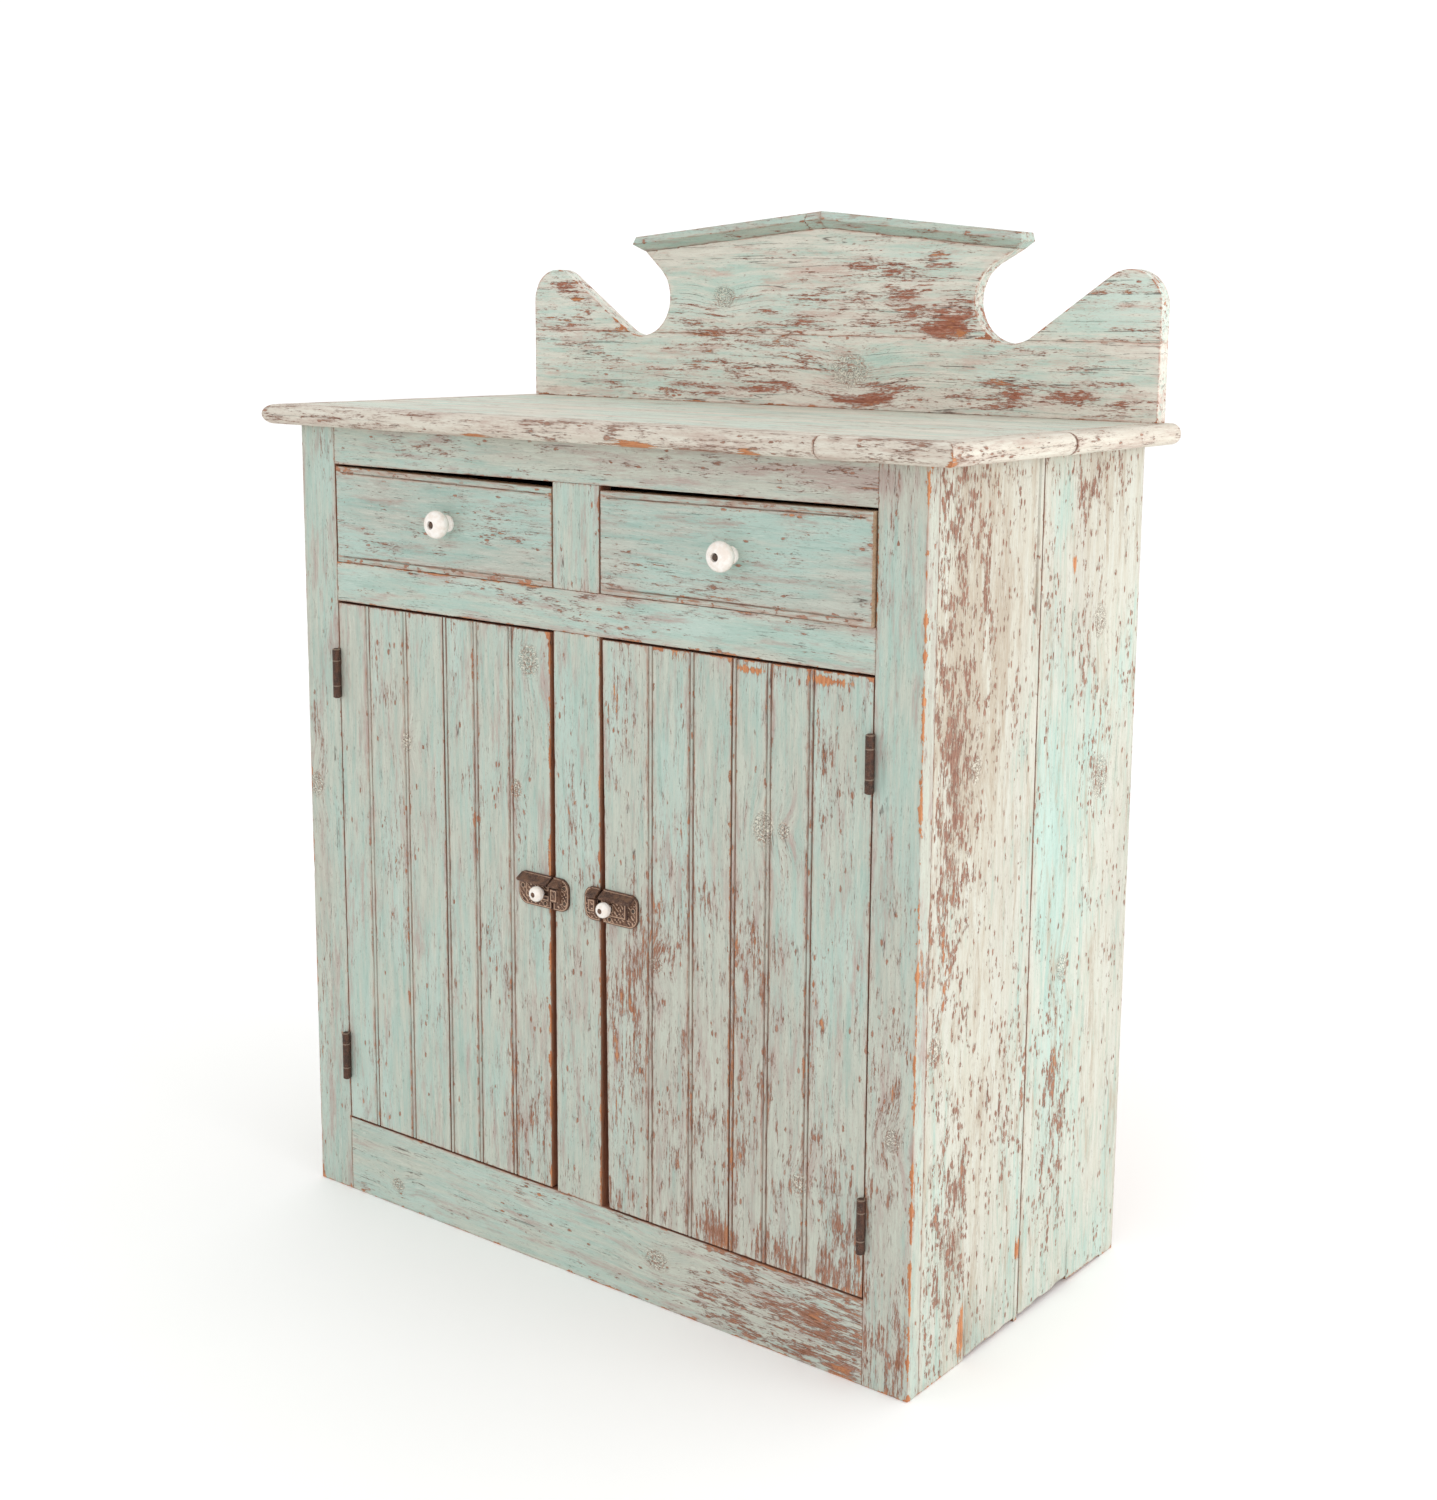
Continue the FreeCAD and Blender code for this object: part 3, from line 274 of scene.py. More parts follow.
def rubbing(points):
    """How far each point's arris is rubbed down, from 0 to 1."""
    found = np.zeros(len(points))
    for x0, x1, y0, y1, z0, z1, amount in RUBBED:
        low, high = np.array([x0, y0, z0]) * MM, np.array([x1, y1, z1]) * MM
        inside = np.all((points >= low) & (points <= high), axis=1)
        found = np.maximum(found, inside * amount)
    return found


def scars(points, place):
    """How deep in a gouge each point is, from 0 to 1."""
    u, v = (points[:, i] / MM for i in PLACES[place])
    found = np.zeros(len(points))
    for name, centre_u, centre_v, half_u, half_v in SCARS:
        if name == place:
            away = np.hypot((u - centre_u) / (half_u + 5), (v - centre_v) / (half_v + 5))
            found = np.maximum(found, np.clip(1.25 - away, 0, 1))
    return found


# Splits in a board's shown face: the CAD node, the split's place across the board, its low and high
# ends along the board, its half-width, and its depth, in millimetres
SPLITS = [
    ("side_right_front_board", -110, -5, 82, 2.6, 7.0), ("side_right_front_board", 3, -5, 104, 1.6, 5.0),
    ("side_right_rear_board", 131, -5, 58, 1.8, 5.0),
    ("side_right_front_board", 1.6, 850, 1090, 4.0, 6.0),
    ("side_left_front_board", -60, -5, 70, 1.6, 5.0), ("side_left_rear_board", 90, -5, 120, 1.4, 5.0),
    ("splash_ear_left", 1202, -446, -398, 0.8, 3.0),
]
SPLIT_TAPER = 25               # millimetres over which a long split dies away at each end
# The drawer front that has warped: its right end stands proud, and the bend starts right of its knob
PROUD_DRAWER = "drawer_right_front"
PROUD = 6 * MM
WARP_START, WARP_SPAN = 0.56, 0.44
FRONT_LAYER = 6 * MM           # the part of its thickness that bends
# The nosing whose two lengths have drawn apart
GAPING_NOSING = "top_nosing_right"
GAPE_REACH = 3 * MM
GAPE = 1.1 * MM                # how far each end is drawn back
# Broken board ends at the floor: the CAD node, low and high across the board, and how far it is short
SHORT_ENDS = [
    ("side_right_front_board", -112, 4, 6.0), ("side_right_rear_board", 4, 131, 9.0),
    ("side_right_rear_board", 131, 220, 4.0), ("side_left_rear_board", 60, 160, 5.0),
]


# ---------------------------------------------------------------- working on a mesh
def loaded(node):
    """A CAD node's mesh, to be worked on, with its doubled points merged."""
    bm = bmesh.new()
    bm.from_mesh(frame["nodes"][node].data)
    bmesh.ops.remove_doubles(bm, verts=bm.verts, dist=SAME_POINT)
    return bm


def merge_flat(bm):
    """Joins neighbouring faces that lie in one plane."""
    bmesh.ops.dissolve_limit(
        bm, angle_limit=FLAT_ANGLE, verts=bm.verts, edges=bm.edges, use_dissolve_boundaries=False
    )


def cut(bm, point, normal):
    """Divides the faces that cross a plane."""
    geometry = bm.verts[:] + bm.edges[:] + bm.faces[:]
    bmesh.ops.bisect_plane(bm, geom=geometry, dist=ON_PLANE, plane_co=point, plane_no=normal)


def axis_vector(axis):
    """The unit vector along an axis."""
    return Vector([float(i == axis) for i in range(3)])


def points_along(edges, spacing):
    """Points on the edges, about that far apart."""
    found = []
    for edge in edges:
        start, end = (v.co for v in edge.verts)
        count = max(1, int((end - start).length / spacing))
        found += [start.lerp(end, i / count) for i in range(count + 1)]
    return found


def nearest_finder(points):
    """A tree that finds the one of the points that is nearest to a place."""
    tree = kdtree.KDTree(max(1, len(points)))
    for number, point in enumerate(points):
        tree.insert(point, number)
    tree.balance()
    return tree


def add_object(name, data):
    """A new object in the scene."""
    piece = bpy.data.objects.new(name, data)
    bpy.context.scene.collection.objects.link(piece)
    return piece


def owner_of(node):
    """The body that a CAD node moves with."""
    return next(name for name, nodes in frame["record"]["behaviour"]["bodies"].items() if node in nodes)


def stand_in(name, mesh, node):
    """Makes a mesh the piece that is shown in place of a CAD node."""
    piece = add_object(name, mesh)
    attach(piece, owner_of(node))
    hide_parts(node)


# ---------------------------------------------------------------- wood pieces
def arrises(bm, shown):
    """Convex edges of the mesh that lie on its shown faces, or all convex edges if none is named."""
    found = []
    limits = [(way, max(v.co.dot(way) for v in bm.verts) - NEAR_FACE) for way in shown]
    for edge in bm.edges:
        if len(edge.link_faces) != 2 or not edge.is_convex:
            continue
        if edge.calc_face_angle() < ARRIS_ANGLE:
            continue
        on_shown = any(min(v.co.dot(way) for v in edge.verts) > limit for way, limit in limits)
        if on_shown or not shown:
            found.append(edge)
    return found


def grid_cut(bm, axis, step):
    """Cuts the mesh by planes a step apart, so that it can be worn and shaded along its faces."""
    values = [v.co[axis] for v in bm.verts]
    low, high = min(values), max(values)
    count = int((high - low) / step)
    normal = axis_vector(axis)
    for i in range(count):
        cut(bm, normal * (low + (high - low) * (i + 1) / (count + 1)), normal)


def split_cuts(bm, node, grain):
    """Cuts the board beside its splits and broken ends, so that they have crisp sides."""
    across = board_axes(np.array([v.co[:] for v in bm.verts]), grain)[1]
    places = []
    for name, centre, _, _, half, _ in SPLITS:
        if name == node:
            places += [centre + shift * half for shift in (-1, -0.35, 0.35, 1)]
    for name, low, high, _ in SHORT_ENDS:
        if name == node:
            places += [low - 0.3, low + 0.3, high - 0.3, high + 0.3]
    normal = axis_vector(across)
    for place in places:
        cut(bm, normal * place * MM, normal)


def split_depth(node, local):
    """How far each point is pushed in by its board's splits."""
    found = np.zeros(len(local))
    for name, centre, low, high, half, depth in SPLITS:
        if name != node:
            continue
        along, across = local[:, 0] / MM, local[:, 1] / MM
        taper = 1.0
        if high - low > 2 * SPLIT_TAPER:
            taper = np.clip(np.minimum(along - low, high - along) / SPLIT_TAPER, 0, 1)
        inside = (np.abs(across - centre) < half * 0.6) & (along > low) & (along < high)
        found = np.maximum(found, inside * depth * taper * MM)
    return found


def fill_scratch(bm, reach):
    """Fills a scratched line with paint near both ends of a drawer front, where it can hardly be seen."""
    left, right = (pick(v.co.x for v in bm.verts) for pick in (min, max))
    front = min(v.co.y for v in bm.verts)
    for place in (left + reach, right - reach):
        cut(bm, (place, 0, 0), (1, 0, 0))
    for vert in bm.verts:
        near_end = min(vert.co.x - left, right - vert.co.x) < reach - 0.5 * MM
        if near_end and front + NEAR_FACE < vert.co.y < front + SCRATCH_LIMIT:
            vert.co.y = front
    bmesh.ops.remove_doubles(bm, verts=bm.verts, dist=SAME_POINT)
    merge_flat(bm)


def islands(bm):
    """The number of each vertex's loose part."""
    bm.verts.ensure_lookup_table()
    number = [-1] * len(bm.verts)
    count = 0
    for start in bm.verts:
        if number[start.index] >= 0:
            continue
        number[start.index] = count
        stack = [start]
        while stack:
            for edge in stack.pop().link_edges:
                for vert in edge.verts:
                    if number[vert.index] < 0:
                        number[vert.index] = count
                        stack.append(vert)
        count += 1
    return np.array(number)


def turbulence(points, scales, seed):
    """Smooth noise from -1 to 1 at each point, stretched by the scales."""
    scaled = points * np.array(scales) + seed
    return np.array([noise.noise(Vector(p)) for p in scaled])


def knot_nearness(node, along_across):
    """How close each point is to a knot of its board, from 0 to 1."""
    near = np.zeros(len(along_across))
    for name, along, across, radius in KNOTS:
        if name == node:
            away = (along_across - np.array([along, across]) * MM) / (radius * MM)
            near = np.maximum(near, np.exp(-(away ** 2).sum(axis=1)))
    return near


def store(mesh, name, kind, values):
    """Keeps a value for each vertex, for the material to read."""
    attribute = mesh.attributes.new(name, kind, "POINT")
    field = "vector" if kind == "FLOAT_VECTOR" else "value"
    attribute.data.foreach_set(field, np.ascontiguousarray(values, dtype=np.float32).ravel())


def paint_map(points, normals, shown, place):
    """(fade, wear, painted) of each point. A shown face takes its patches from its side of the cupboard."""
    if not shown:
        return *blobs(points, place), np.ones(len(points))
    weights = [np.clip(normals @ np.array(way) * 2 - 0.2, 0, 1) for way in shown]
    total = np.maximum(sum(weights), 1e-6)
    maps = [blobs(points, place or FACES[tuple(way)]) for way in shown]
    fade, wear = (sum(weight * each[i] for weight, each in zip(weights, maps)) / total for i in (0, 1))
    return fade, wear, np.clip(total, 0, 1)


def relief(u, v, away):
    """Height of the cast relief at (u, v), that far in from the nearest edge, all in millimetres."""
    swirl = noise.noise(Vector((u * 0.11, 3.0, v * 0.11))) * 9
    scroll = math.sin(u * SCROLL_TURN + swirl) * math.sin(v * SCROLL_TURN - swirl)
    rim = math.exp(-((away - RIM_PLACE) / RIM_HALF_WIDTH) ** 2)
    inside = min(1.0, max(0.0, (away - 2.4) / 0.8))
    return rim + inside * max(0.0, scroll) * SCROLL_HEIGHT


def cast_ornament(node, material):
    """A cast catch part with a raised rim and scrolled relief on its flat faces that can be seen."""
    bm = loaded(node)
    bmesh.ops.recalc_face_normals(bm, faces=bm.faces)
    rims = nearest_finder(points_along(arrises(bm, []), MM))
    for axis in (0, 2):
        grid_cut(bm, axis, RELIEF_STEP)
    bm.normal_update()
    solid = BVHTree.FromBMesh(bm)
    forward = Vector((0, -1, 0))
    clear = Vector((0, -0.05 * MM, 0))
    sunk = max(v.co.y for v in bm.verts) - CATCH_PLATE + NEAR_FACE
    high = []
    for vert in bm.verts:
        covered = solid.ray_cast(vert.co + clear, forward)[0] is not None
        if vert.normal.y > -0.7 or covered or vert.co.y > sunk:
            high.append(0.0)
            continue
        away = rims.find(vert.co)[2] / MM
        high.append(relief(vert.co.x / MM, vert.co.z / MM, away))
    for vert, lift in zip(bm.verts, high):
        vert.co.y -= lift * RELIEF_HEIGHT
    for face in bm.faces:
        face.smooth = True
    mesh = bpy.data.meshes.new(node + "_cast")
    bm.to_mesh(mesh)
    bm.free()
    store(mesh, "high", "FLOAT", high)
    mesh.materials.append(material)
    stand_in(node + "_cast", mesh, node)


def groove_map(points, shown):
    """How far each point is sunk below the shown faces, from 0 at 0.5 mm to 1 at 1.3 mm."""
    if not shown:
        return np.zeros(len(points))
    depths = [(points @ np.array(way)).max() - points @ np.array(way) for way in shown]
    return np.clip((np.min(depths, axis=0) / MM - 0.5) / 0.8, 0, 1)


def open_joint(points, part):
    """Draws back the facing ends of a nosing's two lengths, so that they gape, and returns where that is."""
    first, second = sorted((points[part == i, 1] for i in (0, 1)), key=np.mean)
    away = points[:, 1] - (first.max() + second.min()) / 2
    near = np.clip(1 - np.abs(away) / GAPE_REACH, 0, 1)
    points[:, 1] += np.sign(away) * near * GAPE
    return (near > 0.6).astype(float)


def warp(points):
    """Bends the right part of a drawer front forward."""
    ahead = points[:, 1] < points[:, 1].min() + FRONT_LAYER
    share = (points[:, 0] - points[:, 0].min()) / np.ptp(points[:, 0])
    share = np.clip((share - WARP_START) / WARP_SPAN, 0, 1) ** 1.3
    points[ahead, 1] -= PROUD * share[ahead]


def break_ends(node, points, local, seed):
    """Shortens a side board raggedly at the floor, where its end has broken off."""
    for name, low, high, short in SHORT_ENDS:
        if name == node:
            end = (points[:, 2] < 3 * MM) & (local[:, 1] > low * MM) & (local[:, 1] < high * MM)
            points[end, 2] += short * MM * (0.8 + 0.4 * turbulence(local[end], (0, 60, 0), seed))


def scar_map(points, normals, shown, place):
    """How deep in a gouge each point is: on the lip, on a piece painted all over, or on front and right."""
    if place == "nosing":
        return scars(points, "lip") * (points[:, 1] < LIP_BACK)
    if not shown:
        return scars(points, place)
    found = np.zeros(len(points))
    for way in shown:
        if tuple(way) in (FRONT, RIGHT):
            found = np.maximum(found, scars(points, FACES[tuple(way)]) * (normals @ np.array(way) > 0.5))
    return found


def worn_surface(node, points, normals, local, away, shown):
    """The points of a painted board, moved to chip its arrises, raise its knots and open its splits."""
    seed = board_offset(node, 0)
    chip = turbulence(local, (45, 60, 60), seed) + 0.25 * turbulence(local, (90, 90, 90), seed)
    depth = np.clip(chip - 0.1, 0, 1) * CHIP_DEPTH * (1 + 1.5 * rubbing(points))
    on_edge = np.clip(1 - away / CHIP_REACH, 0, 1)
    uneven = turbulence(local, (3, 9, 9), seed) * UNEVEN
    face = np.clip(away / FACE_REACH, 0, 1)
    lift = knot_nearness(node, local[:, :2]) * KNOT_LIFT
    facing = np.ones(len(points))
    if shown:
        facing = np.max([normals @ np.array(way) > 0.9 for way in shown], axis=0)
    points = points + normals * ((uneven + lift) * face - depth * on_edge)[:, None]
    return points - normals * (split_depth(node, local) * facing)[:, None]


def weathered(node, grain, material, shown=(), place=None, painted=True, step=SHOW_STEP, arris=ARRIS,
              filled_ends=0.0):
    """A copy of a CAD board with rounded, chipped arrises, uneven faces, and what its paint needs to know.
    Only the shown faces are painted, or all of them if none is named."""
    bm = loaded(node)
    merge_flat(bm)
    if filled_ends:
        fill_scratch(bm, filled_ends)
    bmesh.ops.recalc_face_normals(bm, faces=bm.faces)
    edges = arrises(bm, [Vector(way) for way in shown])
    arris_points = points_along(edges, ARRIS_SPACING)
    bmesh.ops.bevel(
        bm, geom=edges, offset=arris, segments=2, profile=0.5, affect="EDGES", clamp_overlap=False
    )
    for axis in range(3):
        values = [v.co[axis] for v in bm.verts]
        if max(values) - min(values) > 2 * step:
            grid_cut(bm, axis, LONG_STEP * step if axis == AXES[grain] else step)
    split_cuts(bm, node, grain)
    bm.normal_update()
    part = islands(bm)
    points = np.array([v.co[:] for v in bm.verts])
    normals = np.array([v.normal[:] for v in bm.verts])
    local = points[:, board_axes(points, grain)]
    away = np.full(len(points), EDGE_REACH)
    if arris_points:
        finder = nearest_finder(arris_points)
        away = np.minimum([finder.find(point)[2] for point in points], EDGE_REACH)

    if painted:
        points = worn_surface(node, points, normals, local, away, shown)
        groove = groove_map(points, shown)
        if node == GAPING_NOSING:
            groove = open_joint(points, part)
        if node == PROUD_DRAWER:
            warp(points)
        break_ends(node, points, local, board_offset(node, 0))
        for vert, point in zip(bm.verts, points):
            vert.co = point
    for edge in bm.edges:
        edge.smooth = len(edge.link_faces) == 2 and edge.calc_face_angle(0) < SHARP_ANGLE
    for face in bm.faces:
        face.smooth = True
    mesh = bpy.data.meshes.new(node + "_wood")
    bm.to_mesh(mesh)
    bm.free()

    shift = np.array([board_offset(node, i) for i in range(part.max() + 1)])[part]
    store(mesh, "grain", "FLOAT_VECTOR", local + shift)
    store(mesh, "edge", "FLOAT", away)
    if painted:
        for name, values in zip(("fade", "wear", "painted"), paint_map(points, normals, shown, place)):
            store(mesh, name, "FLOAT", values)
        store(mesh, "rub", "FLOAT", rubbing(points))
        store(mesh, "groove", "FLOAT", groove)
        store(mesh, "scar", "FLOAT", scar_map(points, normals, shown, place))
    mesh.materials.append(material)
    stand_in(node + "_wood", mesh, node)


# ---------------------------------------------------------------- materials
def colour(text):
    """A colour written as six hex digits in sRGB, as the linear RGBA that nodes take."""
    values = [int(text[i:i + 2], 16) / 255 for i in (0, 2, 4)]
    return tuple(v / 12.92 if v <= 0.04045 else ((v + 0.055) / 1.055) ** 2.4 for v in values) + (1.0,)


class Graph:
    """Adds nodes to one material, so that a layer of it reads as a line or two."""

    def __init__(self, name):
        self.material = bpy.data.materials.new(name)
        self.material.use_nodes = True
        tree = self.material.node_tree
        self.nodes, self.links = tree.nodes, tree.links
        self.shader = self.nodes["Principled BSDF"]

    def put(self, socket, value):
        """Links the value to the socket if it comes from a node, and sets it there otherwise."""
        if isinstance(value, bpy.types.NodeSocket):
            self.links.new(value, socket)
        else:
            socket.default_value = value

    def add(self, kind, values, **settings):
        """A node with those settings, whose inputs are set or linked by name or number."""
        node = self.nodes.new(kind)
        for key, value in settings.items():
            setattr(node, key, value)
        for key, value in values.items():
            self.put(node.inputs[key], value)
        return node

    def attribute(self, name, output="Fac"):
        """A value that was stored with the mesh."""
        return self.add("ShaderNodeAttribute", {}, attribute_name=name).outputs[output]

    def place(self):
        """Each point's place on its own part."""
        return self.nodes.new("ShaderNodeTexCoord").outputs["Object"]

    def math(self, operation, first, second=0.0):
        """One sum on two values."""
        return self.add("ShaderNodeMath", {0: first, 1: second}, operation=operation).outputs[0]

    def times(self, first, second):
        return self.math("MULTIPLY", first, second)

    def plus(self, first, second):
        return self.math("ADD", first, second)

    def minus(self, first, second):
        return self.math("SUBTRACT", first, second)

    def most(self, first, second):
        return self.math("MAXIMUM", first, second)

    def least(self, first, second):
        return self.math("MINIMUM", first, second)

    def vector(self, operation, first, second):
        """One sum on two vectors."""
        return self.add("ShaderNodeVectorMath", {0: first, 1: second}, operation=operation).outputs[0]

    def noise(self, vector, scales, detail=4.0, roughness=0.55):
        """Cloudy noise with that many features in a metre along each axis."""
        stretched = self.vector("MULTIPLY", vector, scales)
        values = {"Vector": stretched, "Scale": 1.0, "Detail": detail, "Roughness": roughness}
        return self.add("ShaderNodeTexNoise", values).outputs[0]

    def span(self, value, low, high, out_low=0.0, out_high=1.0):
        """Eases from out_low to out_high as the value goes from low to high."""
        values = {"Value": value, "From Min": low, "From Max": high, "To Min": out_low, "To Max": out_high}
        return self.add("ShaderNodeMapRange", values, interpolation_type="SMOOTHSTEP").outputs[0]

    def mix(self, factor, under, over, mode="MIX"):
        """One colour laid over another, as far as the factor says."""
        values = {0: factor, 6: under, 7: over}
        return self.add("ShaderNodeMix", values, data_type="RGBA", blend_type=mode).outputs[2]

    def finish(self, base, roughness, height, distance, **constants):
        """Sets the shader's sockets: colour, roughness and bump are linked, and the rest are constants."""
        self.put(self.shader.inputs["Base Color"], base)
        self.put(self.shader.inputs["Roughness"], roughness)
        bump = self.add("ShaderNodeBump", {"Strength": 1.0, "Distance": distance, "Height": height})
        self.put(self.shader.inputs["Normal"], bump.outputs[0])
        for name, value in constants.items():
            self.shader.inputs[name.replace("_", " ")].default_value = value
        return self.material


def growth_rings(graph, grain):
    """Lines of pine's growth rings, 0 to 1, and the fibres between them."""
    wander = graph.noise(grain, (1.6, 9, 9), 3)
    sideways = graph.add("ShaderNodeCombineXYZ", {"Y": wander, "Z": wander}).outputs[0]
    bent = graph.vector("ADD", grain, graph.vector("MULTIPLY", sideways, (0, 0.03, 0.02)))
    rings = graph.noise(bent, (0.8, 190, 60), 2, 0.4)
    fibres = graph.noise(grain, (30, 900, 900), 3, 0.6)
    return rings, fibres


def bare_pine():
    """Old unpainted pine: warm brown, with darker rings, stains and a dull surface."""
    graph = Graph("bare_pine")
    grain = graph.attribute("grain", "Vector")
    rings, fibres = growth_rings(graph, grain)
    tone = graph.mix(graph.span(rings, 0.38, 0.66), colour("a9855c"), colour("7c5a3b"))
    tone = graph.mix(graph.span(fibres, 0.35, 0.75, 0, 0.5), tone, colour("c6a67c"))
    stain = graph.noise(grain, (2.5, 7, 7), 4)
    tone = graph.mix(graph.span(stain, 0.45, 0.75, 0, 0.6), tone, colour("5f4a37"))
    rim = graph.span(graph.attribute("edge"), 0.0, 0.006, 0.45, 0.0)
    tone = graph.mix(rim, tone, colour("4a382a"))
    height = graph.plus(graph.times(rings, 0.6), graph.times(fibres, 0.4))
    return graph.finish(tone, graph.span(fibres, 0.2, 0.8, 0.62, 0.85), height, 0.0008)


def knot_distance(graph, grain):
    """Distance to the nearest knot, in knot radii."""
    nearest = None
    for node, along, across, radius in KNOTS:
        centre = board_offset(node, 0) + np.array([along * MM, across * MM, 0])
        away = graph.vector("SUBTRACT", grain, tuple(centre))
        scaled = graph.vector("MULTIPLY", away, (0.75 / (radius * MM), 1 / (radius * MM), 0))
        length = graph.add("ShaderNodeVectorMath", {0: scaled}, operation="LENGTH").outputs["Value"]
        nearest = length if nearest is None else graph.least(nearest, length)
    return nearest


# For each side: three tones of the aqua coat, three of the cream under it, and two of the old wood
TONES = {
    "front": ("a7bfb4", "b6c8be", "9cb2a7", "bfc4b7", "b6b4a8", "ad9991", "a9806d", "80553f"),
    "drawer": ("9fb9af", "aec3b9", "94aca2", "babfb4", "b0aea3", "a5948b", "a9806d", "80553f"),
    "side": ("a9c3b8", "b8cdc3", "a0b9ae", "cacbc0", "c3bfb0", "aea08d", "a17d6b", "6d4437"),
    # The splashback's coat and cream tones are lifted by about an eighth above its paint: painted light,
    # making up for the light it gets less of than the front.
    "splash": ("b8d0c4", "cbdad0", "b0c5b9", "dfdcd0", "d6cdc1", "cab0a4", "b67f6a", "8f5541"),
    "top": ("aec8bb", "c0d2c6", "a3b9ad", "d8d4c7", "cdc4b6", "baa598", "a78472", "7d594a"),
}
RAW_WOOD = ("b06f4a", "cd9064")
INNER_WOOD = ("9c6243", "7d4a31")    # a board's edges, near its painted face
BACK_WOOD = ("b08c62", "8a6844")     # a board's back, out of the light
DRAWER_EDGE = ("cfb48c", "b0926a")   # a drawer front's edges, which are rubbed and pale, made lighter still as painted light against the shade they stand in
GROOVE_DIRT = "7a4836"
PORE_DIRT = "8f8078"
CHALK = "dcdbd0"                     # paint gone chalky on the raised threads of the grain
LOOSE_FLAKE = "dad6c6"
DARK_CRACK = "5f483c"
OPEN_CHECK = "4e3b33"


def knot_marks(graph, grain, knot, blotch):
    """(flaking, cracks, rings) of the paint on and round a knot."""
    crackle = graph.noise(grain, (380, 380, 380), 3, 0.6)
    inside = graph.span(knot, 0.7, 1.25, 1.0, 0.0)
    flaking = graph.times(inside, graph.span(crackle, 0.50, 0.58))
    off_line = graph.math("ABSOLUTE", graph.minus(crackle, 0.48))
    cracks = graph.times(inside, graph.span(off_line, 0.014, 0.040, 1.0, 0.0))
    turn = graph.plus(graph.times(knot, 17.0), graph.times(blotch, 9.0))
    lines = graph.span(graph.math("SINE", turn), 0.55, 0.95)
    near_knot = graph.span(knot, 0.9, 1.5, 1.0, 0.0)
    rings = graph.times(graph.times(lines, near_knot), graph.span(blotch, 0.40, 0.60))
    return flaking, cracks, rings


def flake_pits(graph, lines, share, pore):
    """Small crisp ovals where the paint has popped off, in a share of the cells."""
    stretched = graph.vector("MULTIPLY", lines, (95, 230, 230))
    cells = graph.add("ShaderNodeTexVoronoi", {"Vector": stretched, "Scale": 1.0})
    chance = graph.add("ShaderNodeSeparateColor", {"Color": cells.outputs["Color"]}).outputs[0]
    chosen = graph.span(graph.minus(share, chance), -0.01, 0.01)
    size = graph.plus(graph.times(chance, 0.4), 0.38)
    torn = graph.times(graph.minus(pore, 0.5), 0.9)
    ragged = graph.plus(cells.outputs["Distance"], torn)
    return graph.times(chosen, graph.span(graph.minus(size, ragged), -0.02, 0.05))


